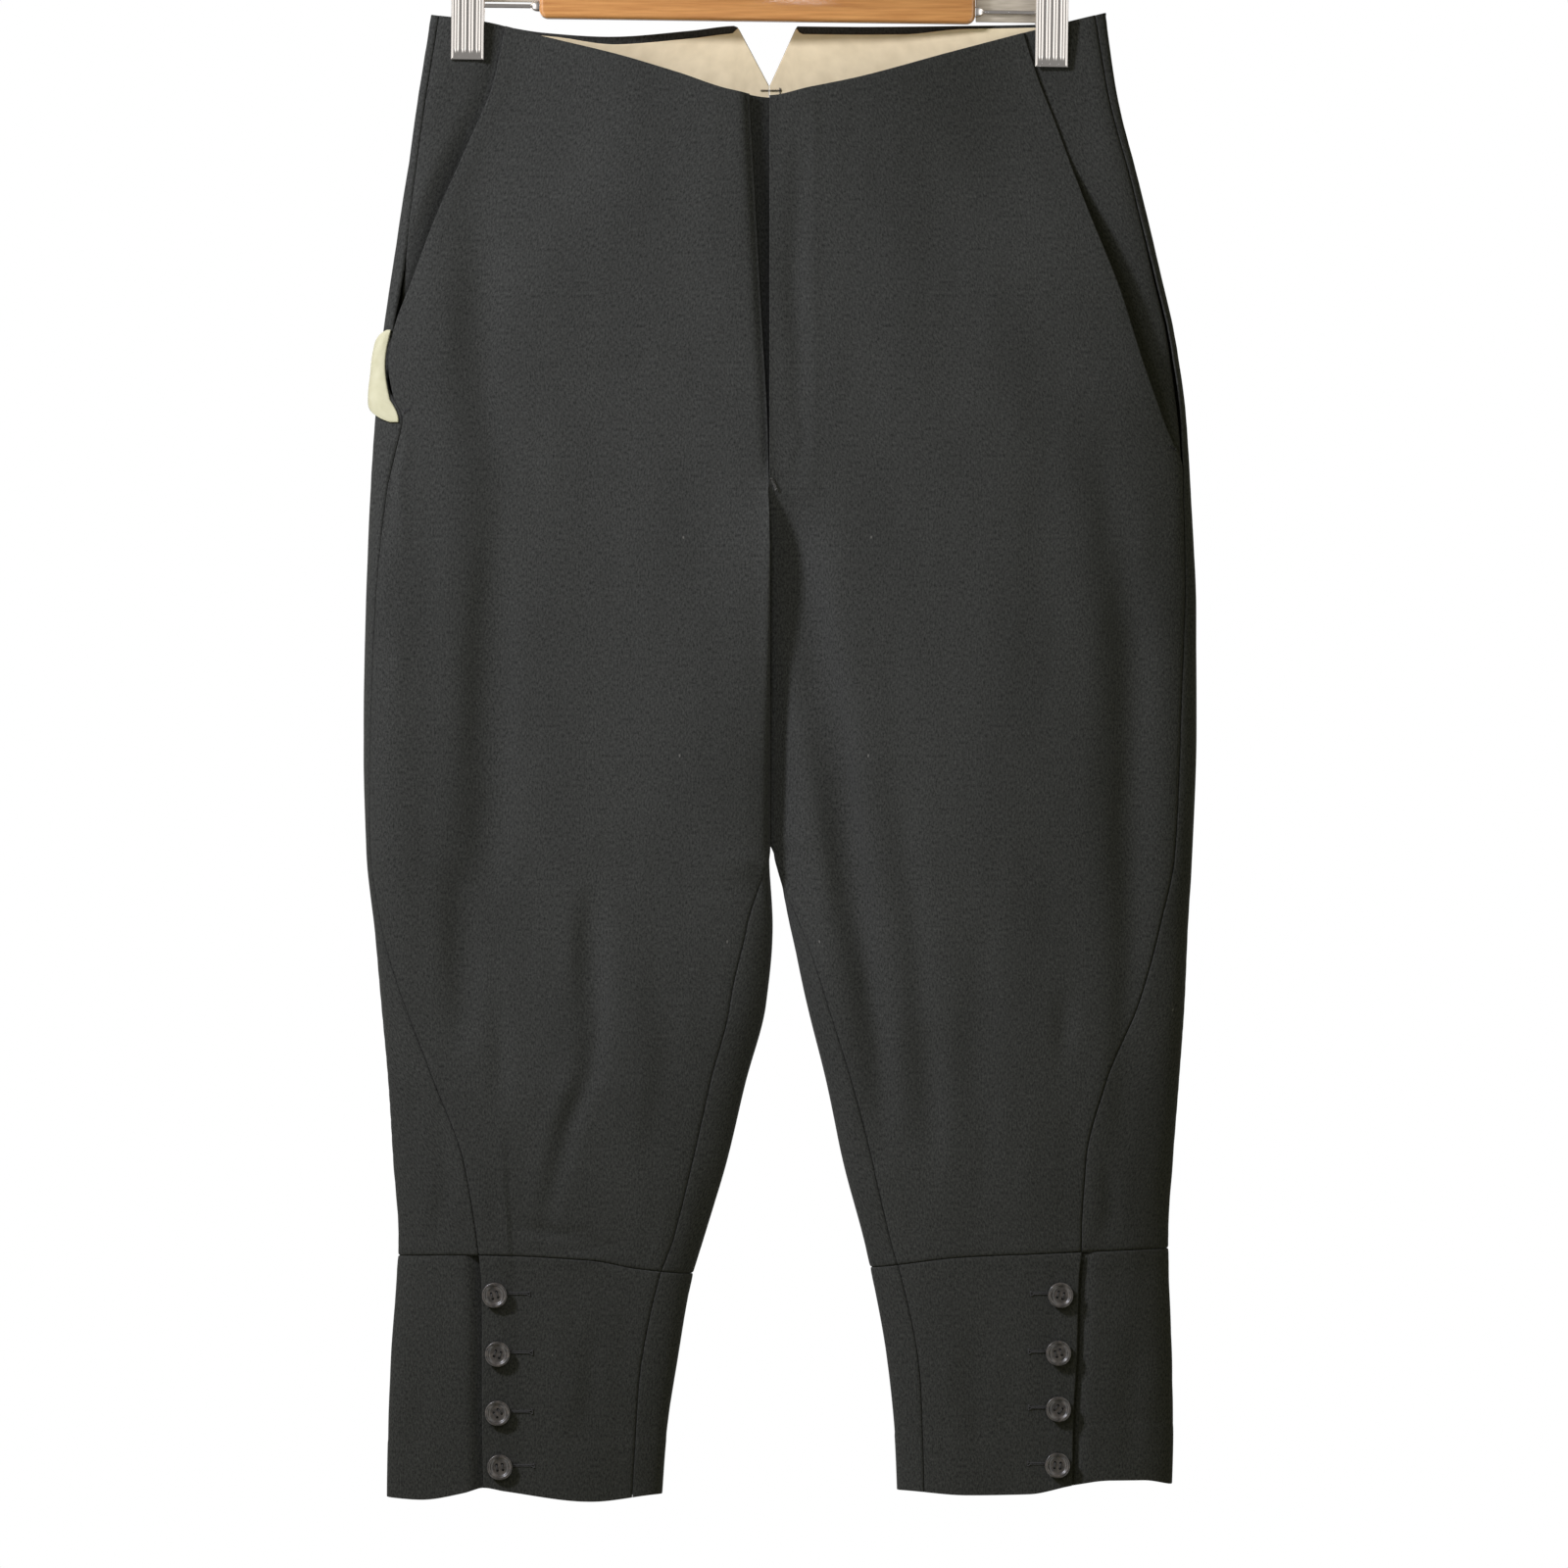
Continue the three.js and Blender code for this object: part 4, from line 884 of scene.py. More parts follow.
def halfPanels(half, gape):
    name = half["name"]
    clips = [f"clip_front_{name}", f"clip_back_{name}"]
    mouth = frontSideTurn(half)
    inseam = tableOf(lambda z: inseamTurn(half, z))
    side = tableOf(lambda z: sideTurn(half, z))
    closing = tableOf(lambda z: 1 + np.where(z < form["crotchZ"], inseamTurn(half, z), 0))
    # the piece on the wearer's right of a seam drops into it
    drops, stays = (seamEdge, levelSeamEdge) if half is right else (levelSeamEdge, seamEdge)
    legLevel, cuffLevel = warpedLevel(frontWaistZ, kneeSeamZ), evenLevel(kneeSeamZ, hemZ)

    def hipLift(turn, z):
        dip = hipDip[name]
        beyond = np.abs(surface(half, turn, z)[..., 0]) - np.abs(half["pocketX"](z))
        under = (dip["low"] + dip["open"] * openMouth(half, z)) * (1 - smooth(*dip["fade"], beyond))
        return -under - dip["groove"] * bell(beyond, dip["width"])

    def standLift(turn, z):
        dip = standDip[name]
        beyond = np.where(turn < 0.5, np.abs(surface(half, turn, z)[..., 0] - surface(half, side(z), z)[..., 0]), 99)
        beyond = np.where(turn < side(z), 0, beyond)
        return -form["under"] * (1 - smooth(*standDip["fade"], beyond)) - dip["groove"] * bell(beyond, dip["width"])

    addPanel(f"front_{name}", {
        "half": half, "from": inseam, "to": mouth, "level": legLevel,
        "length": 700, "rowStep": 3.0, "columnStep": 2.4, "lift": mouthLift(half, gape),
        "edges": {"from": flyUnderEdge if half is right else flyOverEdge,
                  "to": pocketSideEdge(half), "top": foldedEdge, "foot": seamEdge},
        "across": ("from", reachAcross(half)),
    }, clips)
    addPanel(f"back_{name}", {
        "half": half, "from": side, "to": closing, "level": warpedLevel(backWaistZ, kneeSeamZ),
        "length": 700, "rowStep": 3.2, "columnStep": 2.8,
        "edges": {"from": drops, "to": centreEdge(half), "top": foldedEdge, "foot": seamEdge},
        "across": ("to", reachAcross(half)),
    }, clips)
    addPanel(f"hip_{name}", {
        "half": half, "from": tableOf(lambda z: turnBeyond(half, mouth(z), z, -30)), "to": side,
        "level": evenLevel(frontWaistZ, flatAt(half["pocketFootZ"])),
        "length": 225, "rowStep": 2.6, "columnStep": 2.2, "lift": hipLift,
        "edges": {"from": plainEdge, "to": stays, "top": foldedEdge, "foot": plainEdge},
    }, clips)
    addPanel(f"facing_{name}", {
        "half": half, "from": tableOf(lambda z: 0.5 + turnFor(half, z, 9)), "to": flatAt(1),
        "level": evenLevel(facingTop, flatAt(-186)), "thickness": form["cotton"],
        "length": 84, "rowStep": 2.4, "columnStep": 2.4,
        "lift": lambda turn, z: np.full(np.shape(z), -form["under"]),
        "edges": {"from": plainEdge, "to": plainEdge, "top": plainEdge, "foot": plainEdge},
    }, [f"back_{name}"], creamCotton, "cream_cotton")
    addPanel(f"cuff_front_{name}", {
        "half": half, "from": inseam, "to": side, "level": cuffLevel,
        "length": 133, "rowStep": 2.4, "columnStep": 2.2,
        "edges": {"from": drops, "to": placketEdge, "top": levelSeamEdge, "foot": hemEdge},
    }, [f"front_{name}"])
    addPanel(f"cuff_back_{name}", {
        "half": half, "from": tableOf(lambda z: sideTurn(half, z, 28)), "to": closing, "level": cuffLevel,
        "length": 133, "rowStep": 2.4, "columnStep": 2.4, "lift": standLift,
        "edges": {"from": plainEdge, "to": stays, "top": levelSeamEdge, "foot": hemEdge},
    }, [f"back_{name}"])


halfPanels(right, 1.4)
halfPanels(left, 3.8)


def onCloth(half, turn, z, out):
    # a point of the finished cloth, and the cloth's direction there
    turn, z = np.asarray(turn, float), np.asarray(z, float)
    base, normal = surface(half, turn, z), surfaceNormal(half, turn, z)
    return base + normal * (looseLift(turn, base) + out)[..., None], normal


def addPlainSheet(node, outer, inner, u, v, *rest):
    piece = gridMesh("cloth_" + node, outer, inner, np.stack([u, v], axis=-1))
    addSheet(node, piece, measured(outer), *rest)


# the guard behind the fly, one piece across the centre: it slopes away from the right front's edge, from a
# little before it, to lie deep under the left one's
guard = {
    "right": 20, "left": 24, "footZ": -372, "drop": 0.3, "length": 232, "width": 44, "steps": (3.0, 1.6),
    "before": 3, "step": 2.2, "slope": 6.6, "furthest": 1.3, "endZ": (-374, -330),
}
v = spread(guard["length"], guard["steps"][0]) / guard["length"]
w = spread(guard["width"], guard["steps"][1]) / guard["width"]
v, w = np.meshgrid(v, w, indexing="ij")
centreX = form["centreX"]
guardX = blendTo(centreX - guard["right"], centreX + guard["left"], w)
guardZ = blendTo(frontWaistZ(guardX) - guard["drop"], guard["footZ"], v)
edgeX = centreX - 0.1 - right["inseam"](guardZ)
before = guard["before"]
away = np.clip((guardX - edgeX + before) / np.maximum(centreX - edgeX + before, 4), 0, guard["furthest"])
dip = guard["step"] * smooth(-before, 0, guardX - edgeX) + guard["slope"] * away
guardOut = -form["under"] - dip * smooth(*guard["endZ"], guardZ)
guardFaces = []
for out in (guardOut, guardOut - form["cloth"]):
    sides = []
    for half in (right, left):
        inward = np.where((guardX < centreX) == (half is right), guardX, half["inner"](guardZ))
        sides.append(onCloth(half, turnAtX(half, guardZ, inward), guardZ, out)[0])
    guardFaces.append(np.where((guardX < centreX)[..., None], *sides))
addPlainSheet("fly_guard", *guardFaces, guardX, guardZ, ["front_left", "front_right"])

# the fold of the right pocket's bag that has worked out of the pocket's mouth: how far it swells, how far it
# starts inside the mouth, how far round it reaches, and its rumple
bag = {"topZ": -274.5, "footZ": -327.5, "swell": 5.4, "inside": 2.2, "least": 0.012, "most": 0.515, "rumple": 0.45,
       "width": 22, "above": 0.3}
v, w = np.meshgrid(np.linspace(0, 1, 56), np.linspace(0, 1, 22), indexing="ij")
bagZ = blendTo(bag["topZ"], bag["footZ"], v)
opened = curveThrough([(0, 0), (0.06, 0.36), (0.15, 0.64), (0.3, 0.87), (0.54, 1.0), (0.74, 0.88), (0.86, 0.62),
                       (0.95, 0.28), (1, 0.02)])(v)
mouthTurn = tableOf(lambda z: turnBeyond(right, frontSideTurn(right)(z), z, bag["inside"]))(bagZ)
bagTurn = blendTo(mouthTurn, blendTo(mouthTurn + bag["least"], bag["most"], opened), w)
out = form["cotton"] + bag["above"] + (bag["swell"] - form["cotton"]) * opened * np.sin(math.pi / 2 * w)
rumple = ripple(w * 20, bagZ, 41, 6, 16) * np.sin(math.pi * np.clip(w, 0, 1)) ** 0.5
out = out + bag["rumple"] * opened * rumple
addPlainSheet("pocket_bag_right", onCloth(right, bagTurn, bagZ, out)[0],
              onCloth(right, bagTurn, bagZ, out - form["cotton"])[0], w * bag["width"], bagZ,
              ["hip_right"], bagCotton, "cream_cotton")
print("cloth done")


# sewing
def cord(name, points, radius, material, closed=False, sides=3):
    # a round thread along points, in millimetres
    curve = bpy.data.curves.new(name, "CURVE")
    curve.dimensions = "3D"
    curve.bevel_depth = radius * mm
    curve.bevel_resolution = sides
    curve.use_fill_caps = True
    line = curve.splines.new("POLY")
    line.points.add(len(points) - 1)
    for spot, point in zip(line.points, points):
        spot.co = (*(float(c) * mm for c in point), 1)
    line.use_cyclic_u = closed
    piece = bpy.data.objects.new(name, curve)
    bpy.context.collection.objects.link(piece)
    pick(piece)
    bpy.ops.object.convert(target="MESH")
    piece = bpy.context.active_object
    bpy.ops.object.shade_smooth()
    piece.data.materials.clear()
    piece.data.materials.append(material)
    return piece


def joined(pieces, name):
    pick(pieces[0])
    for piece in pieces:
        piece.select_set(True)
    bpy.ops.object.join()
    pieces[0].name = name
    return pieces[0]


# threads: radius, how far a stitch swings to a side, how far apart stitches lie, how far out they stand
thread = {"radius": 0.2, "swing": 0.75, "apart": 0.32, "out": 0.5, "buttonhole": 0.3, "button": 0.3}
# short dense bars of thread: where each starts and how far it runs
barTacks = {
    "fly_tack": {"half": left, "x": 7.0, "z": -359.5, "run": (2.6, -6.6), "material": paleThread},
    "pocket_foot_tack_right": {"half": right, "x": -203.0, "z": -322.0, "run": (3.6, 2.2), "material": darkThread},
    "pocket_foot_tack_left": {"half": left, "x": 236.8, "z": -343.0, "run": (-3.4, 2.0), "material": darkThread},
}
for name, tack in barTacks.items():
    half, (runX, runZ) = tack["half"], tack["run"]
    length = math.hypot(runX, runZ)
    points = []
    for i in range(int(length / thread["apart"]) + 1):
        side = thread["swing"] if i % 2 else -thread["swing"]
        t = i * thread["apart"]
        x = tack["x"] + runX / length * t - runZ / length * side
        z = tack["z"] + runZ / length * t + runX / length * side
        points.append(onCloth(half, turnAtX(half, z, x), z, thread["out"])[0])
    dressed(cord(name, points, thread["radius"], tack["material"]))


# the tack that holds the foot of the notch, on the facing: a bar across and a shorter one down its end
notch = {"x": 0.6, "z": -136.5, "swing": 0.45, "count": 40, "endX": 11.6, "endZ": -134.9, "endSwing": 0.4,
         "endCount": 14, "apart": 0.3, "inside": 0.35}
line = [(notch["x"] + i * notch["apart"], notch["z"] + (notch["swing"] if i % 2 else -notch["swing"]))
        for i in range(notch["count"])]
line += [(notch["endX"] + (notch["endSwing"] if i % 2 else -notch["endSwing"]), notch["endZ"] - i * notch["apart"])
         for i in range(notch["endCount"])]
points = []
for x, z in line:
    half = right if x < form["centreX"] else left
    inside = -form["under"] - form["cotton"] - notch["inside"]
    points.append(onCloth(half, 1 - turnAtX(half, z, x), z, inside)[0])
dressed(cord("notch_tack", points, thread["radius"], darkThread))


# a buttonhole: slit lengths, half gape, eye, half of its end bar, and where the slit and the bar end
hole = {"right": 19.4, "left": 16.6, "gape": 0.42, "eye": 1.5, "eyeX": 0.4, "bar": 1.3, "short": 0.2, "long": 0.35,
        "steps": 40, "out": 0.42, "above": 1.0}


def keyhole(half, x, z, way):
    # the outline of a buttonhole: a long slit with a round eye by the button
    length, eye, bar = hole[half["name"]], hole["eye"], hole["bar"]
    slit, end = length - hole["short"], length + hole["long"]
    outline = [(end, bar), (slit, bar)]
    for i in range(hole["steps"]):
        t = i / hole["steps"]
        if t < 0.4:
            outline.append((slit * (1 - t / 0.4), hole["gape"]))
        elif t < 0.6:
            a = math.pi * (0.5 + (t - 0.4) / 0.2)
            outline.append((eye * math.cos(a) - hole["eyeX"], eye * math.sin(a)))
        else:
            outline.append((slit * (t - 0.6) / 0.4, -hole["gape"]))
    outline += [(slit, -bar), (end, -bar)]
    return [onCloth(half, turnAtX(half, z + dz, x + way * dx), z + dz, hole["out"])[0] for dx, dz in outline]


buttonRows = {
    "right": [(-150.6, -824.9), (-149, -858.5), (-149, -892.1), (-147.8, -922.9)],
    "left": [(171.4, -824.9), (170.2, -857.9), (170.2, -889.8), (169.7, -921.8)],
}
for half in (right, left):
    way = 1 if half is right else -1
    for i, (x, z) in enumerate(buttonRows[half["name"]], 1):
        outline = keyhole(half, x, z + hole["above"], way)
        edge = cord(f"buttonhole_{half['name']}_{i}", outline, thread["buttonhole"], darkThread, closed=True)
        dressed(edge)
print("sewing done")


# buttons, modelled once
def editFaces(piece, isChosen):
    pick(piece)
    bpy.ops.object.mode_set(mode="EDIT")
    bpy.ops.mesh.select_mode(type="FACE")
    bpy.ops.mesh.select_all(action="DESELECT")
    shape = bmesh.from_edit_mesh(piece.data)
    shape.faces.ensure_lookup_table()
    for face in shape.faces:
        face.select_set(isChosen(face))
    bmesh.update_edit_mesh(piece.data)


def applied(piece, kind, **settings):
    modifier = piece.modifiers.new(kind.lower(), kind)
    for key, value in settings.items():
        setattr(modifier, key, value)
    pick(piece)
    bpy.ops.object.modifier_apply(modifier=modifier.name)


def cylinder(vertices, radius, depth, z):
    # an upright one, in millimetres
    piece = primitive(bpy.ops.mesh.primitive_cylinder_add, vertices=vertices, radius=radius * mm, depth=depth * mm,
                      location=(0, 0, z * mm))
    bpy.ops.object.transform_apply(location=True)
    return piece


# the insets from the edge inwards are the rim, the slope into the dish and the one onto its floor
buttonSize = {"radius": 7.2, "thickness": 2.9, "rim": 1.4, "slope": 1.0, "dish": 1.1, "floor": 1.4, "sink": 0.15,
              "edge": 0.55, "spread": 1.6, "hole": 0.75, "out": 1.1}
button = cylinder(56, buttonSize["radius"], buttonSize["thickness"], buttonSize["thickness"] / 2)
editFaces(button, lambda face: face.normal.z > 0.9)
for inset, down in (("rim", None), ("slope", "dish"), ("floor", "sink")):
    bpy.ops.mesh.inset(thickness=buttonSize[inset] * mm)
    if down:
        bpy.ops.transform.translate(value=(0, 0, -buttonSize[down] * mm))
bpy.ops.object.mode_set(mode="OBJECT")
applied(button, "BEVEL", width=buttonSize["edge"] * mm, segments=4, limit_method="ANGLE",
        angle_limit=math.radians(40))
drills = []
for sx in (-1, 1):
    for sy in (-1, 1):
        spot = (sx * buttonSize["spread"] * mm, sy * buttonSize["spread"] * mm, 0)
        drills.append(primitive(bpy.ops.mesh.primitive_cylinder_add, vertices=18, radius=buttonSize["hole"] * mm,
                                depth=0.02, location=spot))
drill = joined(drills, "drill")
applied(button, "BOOLEAN", operation="DIFFERENCE", object=drill, solver="EXACT")
bpy.data.objects.remove(drill)
button.data.materials.append(resin)
pick(button)
bpy.ops.object.shade_smooth_by_angle(angle=math.radians(32))

buttonSpins = [14, -22, 37, 5]  # degrees, down the row; the other way on the left cuff
for half in (right, left):
    for i, (x, z) in enumerate(buttonRows[half["name"]], 1):
        seat, normal = onCloth(half, turnAtX(half, z, x), z, buttonSize["out"])
        spin = Matrix.Rotation(math.radians(buttonSpins[i - 1] * (1 if half is right else -1)), 4, "Z")
        turnTo = Vector((0, 0, 1)).rotation_difference(Vector(normal)).to_matrix().to_4x4()
        place = Matrix.Translation(Vector(seat) * mm) @ turnTo @ spin
        copy = button.copy()
        copy.data = button.data.copy()
        bpy.context.collection.objects.link(copy)
        copy.name = f"resin_button_{half['name']}_{i}"
        copy.data.transform(place)
        dressed(copy, f"button_{half['name']}_{i}")
        s = buttonSize["spread"]
        top = buttonSize["thickness"] - buttonSize["dish"] + buttonSize["sink"]
        stitches = []
        for sx in (-s, s):
            # up through one hole, over the bridge and down through the other
            ends = [(sx, y, top + rise) for y, rise in ((-s, -1.2), (-s * 0.8, 0), (0, 0.2), (s * 0.8, 0), (s, -1.2))]
            line = [place @ (Vector(p) * mm) / mm for p in ends]
            stitches.append(cord("stitch", line, thread["button"], darkThread))
        dressed(joined(stitches, f"button_thread_{half['name']}_{i}"))
bpy.data.objects.remove(button)
print("buttons done")

# hanger
lean = 0.013  # lower at the wearer's left
hangerTurn = Matrix.Rotation(lean, 4, "Y")


def hardware(piece, name, node, material):
    piece.name = name
    piece.data.materials.clear()
    piece.data.materials.append(material)
    dressed(piece, node)


def block(x, y, z):
    # a box of these sizes about the origin
    piece = primitive(bpy.ops.mesh.primitive_cube_add, size=1)
    piece.data.transform(Matrix.Diagonal((x * mm, y * mm, z * mm, 1)))
    return piece


def shifted(x, y, z):
    # from the hanger's own level frame to its leaning place
    return hangerTurn @ Matrix.Translation((x * mm, y * mm, z * mm))


def leaned(point):
    return hangerTurn @ Vector(point)


def smoothBy(degrees):
    bpy.ops.object.shade_smooth_by_angle(angle=math.radians(degrees))


barSize = {"length": 249, "height": 30, "depth": 12, "corner": 5, "bevel": 2.4, "footZ": -98}
hangerBar = block(barSize["length"], barSize["depth"], barSize["height"])
bpy.ops.object.mode_set(mode="EDIT")
bpy.ops.mesh.select_mode(type="EDGE")
bpy.ops.mesh.select_all(action="DESELECT")
shape = bmesh.from_edit_mesh(hangerBar.data)
for edge in shape.edges:
    a, b = edge.verts
    edge.select_set(abs(a.co.y - b.co.y) > 5 * mm)  # the four that run from front to back
bmesh.update_edit_mesh(hangerBar.data)
bpy.ops.mesh.bevel(offset=barSize["corner"] * mm, segments=8)
bpy.ops.object.mode_set(mode="OBJECT")
applied(hangerBar, "BEVEL", width=barSize["bevel"] * mm, segments=5, limit_method="ANGLE",
        angle_limit=math.radians(60))
smoothBy(35)
hangerBar.data.transform(shifted(0, 0, barSize["footZ"] + barSize["height"] / 2))
hardware(hangerBar, "wooden_bar", "hanger_bar", beech)

# the wire hook and its collar
hookSize = {"radius": 20, "wire": 1.75, "collar": 4.6, "collarHeight": 2.6, "collarEdge": 0.8, "tip": 2.3}
bend = hookSize["radius"] + hookSize["wire"]
stemFoot = barSize["footZ"] + barSize["height"] + 0.3
route = [(0, stemFoot), (0, -60), (3, -51), (12, -41)]
route += [(bend * math.cos(math.radians(a)), -hookSize["radius"] + bend * math.sin(math.radians(a)))
          for a in (-25, 0, 25, 50, 75, 90, 105, 130, 155, 180, 200)]


def roundedRoute(route, steps):
    # a smooth line through the points
    line, last = [], len(route) - 1
    for i in range(last):
        p = [route[max(0, min(last, i + k))] for k in (-1, 0, 1, 2)]
        for t in (j / steps for j in range(steps)):
            line.append([0.5 * (2 * p[1][c] + (p[2][c] - p[0][c]) * t
                                + (2 * p[0][c] - 5 * p[1][c] + 4 * p[2][c] - p[3][c]) * t * t
                                + (3 * p[1][c] - p[0][c] - 3 * p[2][c] + p[3][c]) * t ** 3)
                         for c in range(len(p[0]))])
    return line + [list(route[-1])]


hookLine = [leaned((x, 0, z)) for x, z in roundedRoute(route, 7)]
hookWire = cord("hook_wire", hookLine, hookSize["wire"], chrome, sides=6)
collar = cylinder(40, hookSize["collar"], hookSize["collarHeight"], stemFoot + hookSize["collarHeight"] / 2)
applied(collar, "BEVEL", width=hookSize["collarEdge"] * mm, segments=4, limit_method="ANGLE")
collar.data.transform(hangerTurn)
tip = primitive(bpy.ops.mesh.primitive_uv_sphere_add, segments=24, ring_count=12, radius=hookSize["tip"] * mm)
tip.data.transform(Matrix.Translation(leaned((route[-1][0], 0, route[-1][1])) * mm))
wholeHook = joined([hookWire, collar, tip], "hook")
smoothBy(35)
hardware(wholeHook, "steel_hook", "hanger_hook", chrome)

# the rods, their ferrules, the flat strips and the springs
rodSize = {"radius": 1.2, "z": -91, "ferrule": 3, "ferruleLength": 5, "ferruleReach": 5.2}
stripSize = {"thickness": 1.4, "height": 20, "behind": 2.4, "edge": 0.45}
coilSize = {"radius": 4.2, "wire": 0.75, "turns": 11, "steps": 20}
clipSize = {"width": 18.8, "height": 52, "ribs": 4, "ribProud": 0.42, "ribFoot": 5.8, "ribEdge": (1.3, 0.3),
            "rimProud": 0.38, "rimEdge": (1.3, 0.6), "rounding": 0.5}
arms = {
    "right": {"way": -1, "x": -166.9, "footZ": -120.1, "stripFoot": -88.6},
    "left": {"way": 1, "x": 166.6, "footZ": -124.4, "stripFoot": -96.6},
}
for name, arm in arms.items():
    way, rodZ = arm["way"], rodSize["z"]
    clipX = abs(arm["x"] - arm["footZ"] * lean)
    reach = clipX - clipSize["width"] / 2
    start = barSize["length"] / 2 + 0.3
    rodLine = [(way * (start + rodSize["ferruleLength"] - 1), 0, rodZ), (way * (reach + 1), 0, rodZ)]
    rodPiece = cord("rod", [leaned(p) for p in rodLine], rodSize["radius"], chrome, sides=5)
    # half a round bead on the bar's end
    ferrule = primitive(bpy.ops.mesh.primitive_uv_sphere_add, segments=28, ring_count=14, radius=1)
    ferrule.data.transform(Matrix.Diagonal((rodSize["ferruleReach"] * mm, rodSize["ferrule"] * mm,
                                            rodSize["ferrule"] * mm, 1)))
    editFaces(ferrule, lambda face: face.calc_center_median().x * way < -0.0002)
    bpy.ops.mesh.delete(type="FACE")
    bpy.ops.mesh.select_all(action="SELECT")
    bpy.ops.mesh.region_to_loop()
    bpy.ops.mesh.edge_face_add()
    bpy.ops.object.mode_set(mode="OBJECT")
    ferrule.data.transform(shifted(way * start, 0, rodZ))
    plate = block(reach - start + 1, stripSize["thickness"], stripSize["height"])
    applied(plate, "BEVEL", width=stripSize["edge"] * mm, segments=3)
    plate.data.transform(shifted(way * (start + reach + 1) / 2, stripSize["behind"],
                                 arm["stripFoot"] + stripSize["height"] / 2))
    coil, wire = [], coilSize["wire"]
    count, around = coilSize["turns"] * coilSize["steps"], coilSize["radius"] - wire
    for i in range(count + 1):
        a = 2 * math.pi * i / coilSize["steps"]
        across = way * clipX + (i / count - 0.5) * (clipSize["width"] - 2 * wire)
        coil.append(leaned((across, around * math.cos(a), rodZ + around * math.sin(a))))
    spring = cord("spring", coil, wire, chrome, sides=2)
    wholeArm = joined([rodPiece, ferrule, spring], "arm")
    smoothBy(35)
    hardware(wholeArm, f"steel_arm_{name}", f"hanger_arm_{name}", chrome)
    hardware(plate, f"steel_strip_{name}", f"hanger_arm_{name}", satin)

# the pressed clips, each of two ribbed jaws: how far out their faces stand, by height
profile = curveThrough([(0, 5.1), (16, 6.8), (34, 8.4), (52, 9.0)])
insideProfile = curveThrough([(0, 3.8), (3, 3.8), (16, 5.2), (34, 6.8), (52, 7.2)])
width, height, ribs = clipSize["width"], clipSize["height"], clipSize["ribs"]
rimSteps = np.array([0, 0.12, 0.3, 0.5])
across = np.concatenate([rimSteps, np.linspace(0.75, width - 0.75, 64), width - rimSteps[::-1]]) - width / 2
u, z = np.meshgrid(across, spread(height, 0.7))
pitch = width / (ribs + 0.6)
relief = np.zeros(u.shape)
for i in range(ribs):
    away = np.hypot(u - (i - (ribs - 1) / 2) * pitch, np.maximum(0, clipSize["ribFoot"] - z))
    relief = np.maximum(relief, clipSize["ribProud"] * smooth(*clipSize["ribEdge"], away))
rimAway = np.minimum(np.minimum(width / 2 - np.abs(u), z), height - z)
relief = np.maximum(relief, clipSize["rimProud"] * smooth(*clipSize["rimEdge"], rimAway))
roundedOff = rolled(rimAway, clipSize["rounding"])
outerFace = np.stack([u, -(profile(z) + relief + roundedOff), z], -1)
innerFace = np.stack([u, -(insideProfile(z) - roundedOff * 0.6), z], -1)
for name, arm in arms.items():
    for face, turnBack in (("front", 0), ("back", math.pi)):
        jaw = gridMesh(f"steel_jaw_{face}_{name}", outerFace, innerFace, np.stack([u, z], -1))
        place = Matrix.Translation((arm["x"] * mm, 0, arm["footZ"] * mm))
        jaw.data.transform(place @ hangerTurn @ Matrix.Rotation(turnBack, 4, "Z"))
        hardware(jaw, jaw.name, f"clip_{face}_{name}", chrome)
print("hanger done")

# floor, light and camera
floor = primitive(bpy.ops.mesh.primitive_plane_add, size=5.0, location=(0, 0, -1.32))
floor.name = "studio_floor"
# matt white studio vinyl; a little light of its own keeps it pale from every side, and it throws none on the cloth
vinyl = newMaterial("matt white vinyl", Roughness=0.8, Base_Color=linear("#f1f0ee"),
                    Emission_Color=linear("#e6e7f2"), Emission_Strength=0.6)[0]
floor.visible_diffuse = floor.visible_glossy = False
floor.data.materials.append(vinyl)

scene = bpy.context.scene
world = bpy.data.worlds.new("studio")
scene.world = world
world.use_nodes = True
# a white surround to look at, which lights the cloth only dimly; polished metal sees a grey room with a bright
# upright panel on each side
room = {"panelTurn": 2.53, "panelEdge": 6.0, "dark": 0.36, "bright": 2.4, "onCloth": 0.22, "tint": (1.0, 1.0, 0.6, 1)}
sky = world.node_tree
seen = addNode(sky, "ShaderNodeLightPath").outputs
heading = addNode(sky, "ShaderNodeSeparateXYZ", links={0: addNode(sky, "ShaderNodeTexCoord").outputs["Generated"]})
wave = heading.outputs["X"]
for operation, by in (("MULTIPLY", room["panelTurn"]), ("SINE", 0), ("ABSOLUTE", 0), ("POWER", room["panelEdge"])):
    wave = addNode(sky, "ShaderNodeMath", {"operation": operation, 1: by}, {0: wave}).outputs[0]
panels = ranged(sky, wave, room["dark"], room["bright"])
dim = addNode(sky, "ShaderNodeMix", {"data_type": "FLOAT", 2: room["onCloth"]}, {0: seen["Is Glossy Ray"], 3: panels})
surround = addNode(sky, "ShaderNodeMix", {"data_type": "FLOAT", 3: 1.0},
                   {0: seen["Is Camera Ray"], 2: dim.outputs[0]})
tint = addNode(sky, "ShaderNodeMix", {"data_type": "RGBA", 6: grey(1.0), 7: room["tint"]},
               {0: seen["Is Diffuse Ray"]})
sky.links.new(tint.outputs[2], sky.nodes["Background"].inputs["Color"])
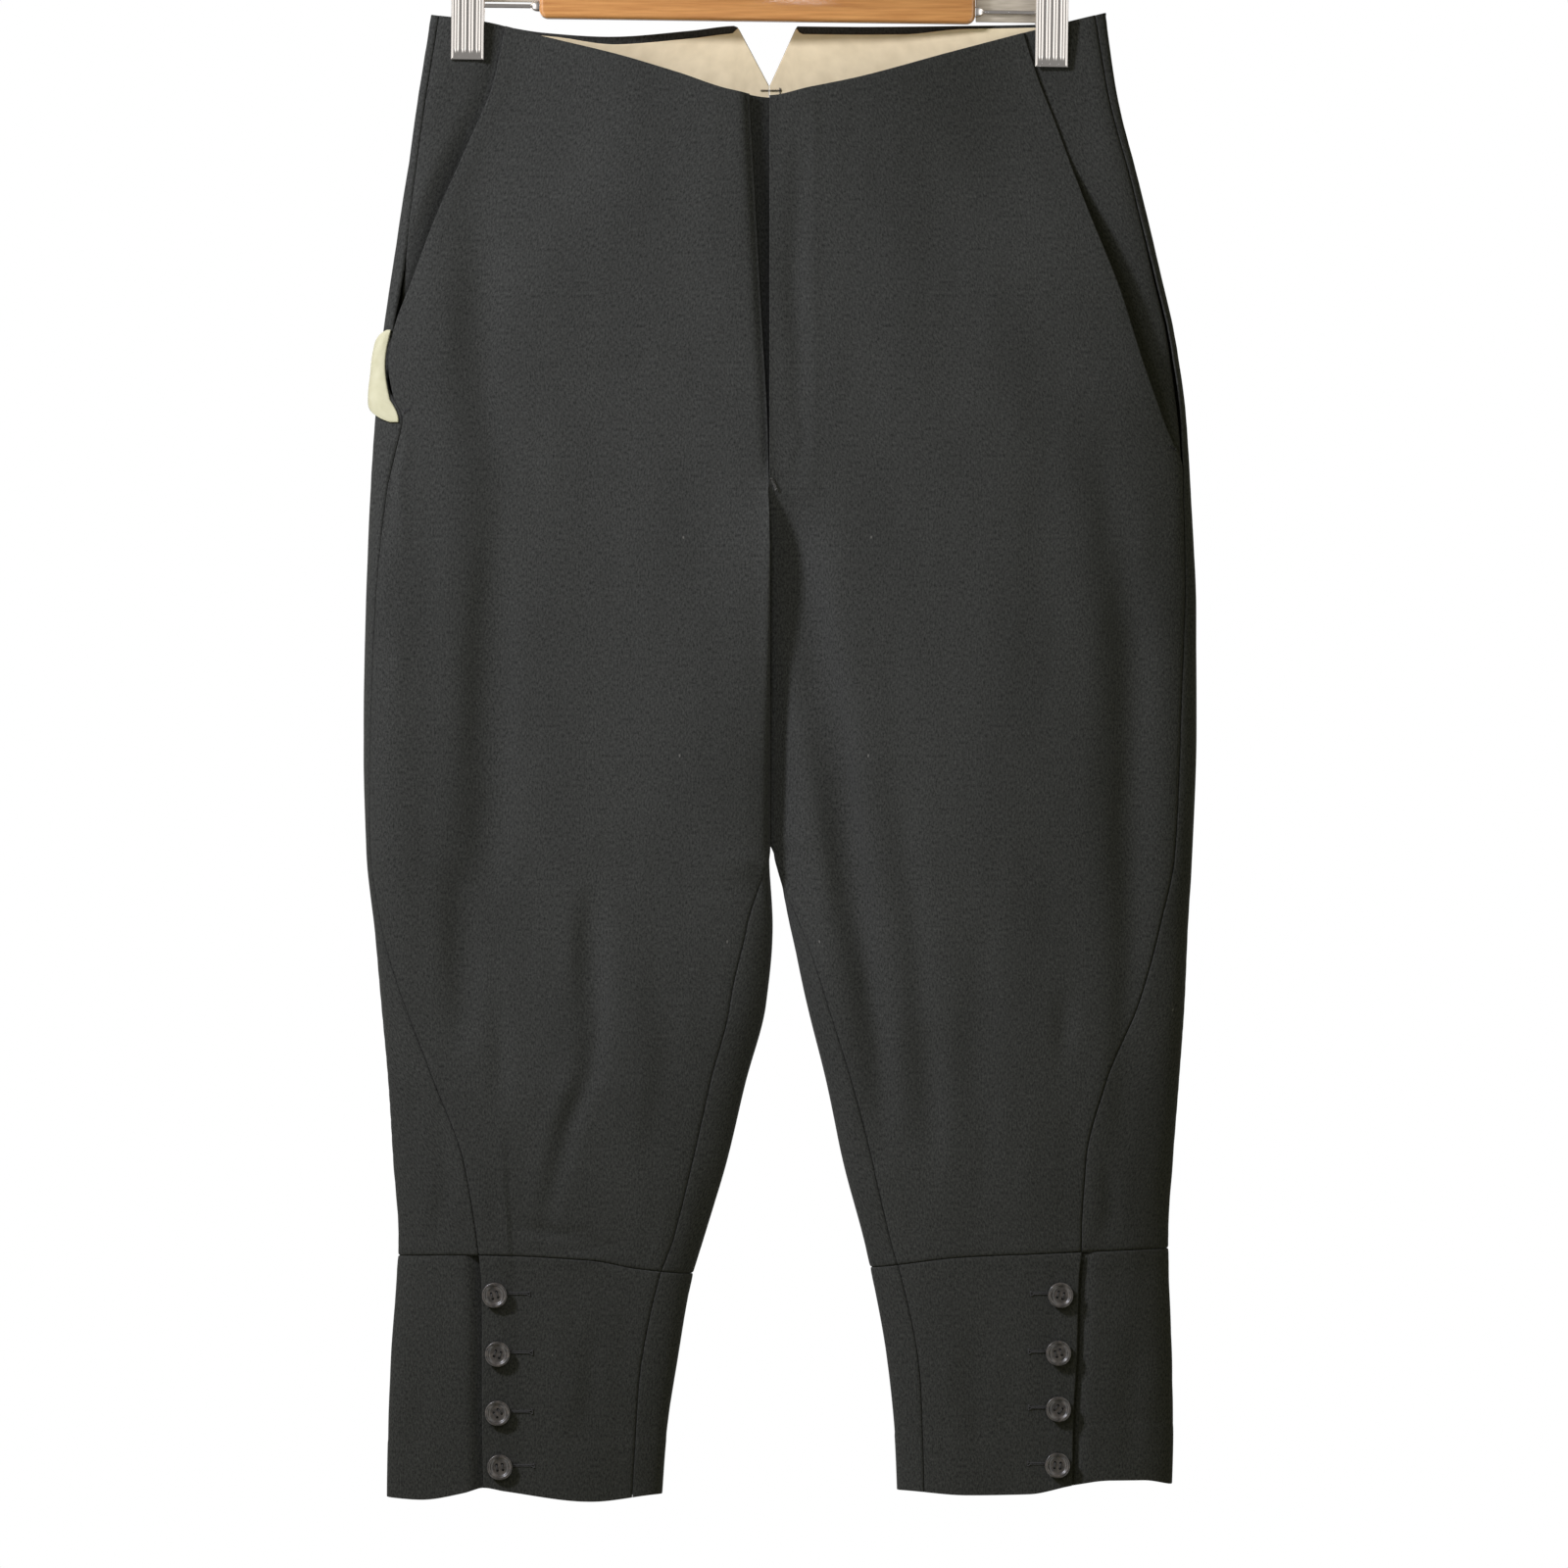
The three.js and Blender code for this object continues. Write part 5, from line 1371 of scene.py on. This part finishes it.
sky.links.new(surround.outputs[0], sky.nodes["Background"].inputs["Strength"])
scene.view_settings.view_transform = "Standard"

lampColor = (0.965, 0.985, 1.13)
lamps = {
    "front_box": {"kind": "AREA", "at": (-0.03, -0.42, -0.42), "aim": (-0.03, 0.0, -0.42), "size": (0.1, 0.66),
                  "power": 0.66, "glossy": False, "diffuse": True},
    "side_spot": {"kind": "SPOT", "at": (-1.45, -1.1, 0.7), "aim": (-0.04, 0.0, -0.42), "size": (0.16, 0),
                  "power": 190.0, "glossy": True, "diffuse": True},
    "back_box": {"kind": "AREA", "at": (0.5, 2.1, 0.1), "aim": (0.0, 0.0, -0.5), "size": (1.2, 1.2),
                 "power": 19.0, "glossy": False, "diffuse": True},
    "glare": {"kind": "AREA", "at": (0.088, -1.5, 0.021), "aim": (0.073, 0.0, -0.09), "size": (0.09, 0.014),
              "power": 0.05, "glossy": True, "diffuse": False},
}


def placed(name, data, at):
    holder = bpy.data.objects.new(name, data)
    bpy.context.collection.objects.link(holder)
    holder.location = at
    return holder


for name, lamp in lamps.items():
    light = bpy.data.lights.new(name, lamp["kind"])
    light.energy = lamp["power"]
    light.color = lampColor
    if lamp["kind"] == "AREA":
        light.shape = "RECTANGLE"
        light.size, light.size_y = lamp["size"]
    else:
        light.shadow_soft_size = lamp["size"][0]
        light.spot_size = math.radians(46)
        light.spot_blend = 1.0
    holder = placed(name, light, lamp["at"])
    holder.rotation_euler = (Vector(lamp["aim"]) - Vector(lamp["at"])).to_track_quat("-Z", "Y").to_euler()
    holder.visible_camera = False
    holder.visible_glossy, holder.visible_diffuse = lamp["glossy"], lamp["diffuse"]

lens = {"at": (0.014, -6.0, -0.5337), "sensor": 36.0, "width": 0.896, "furthest": 40}
cameraData = bpy.data.cameras.new("camera")
cameraData.sensor_width = lens["sensor"]
cameraData.lens = lens["sensor"] * -lens["at"][1] / lens["width"]
cameraData.clip_end = lens["furthest"]
camera = placed("camera", cameraData, lens["at"])
camera.rotation_euler = (math.pi / 2, 0, 0)
scene.camera = camera
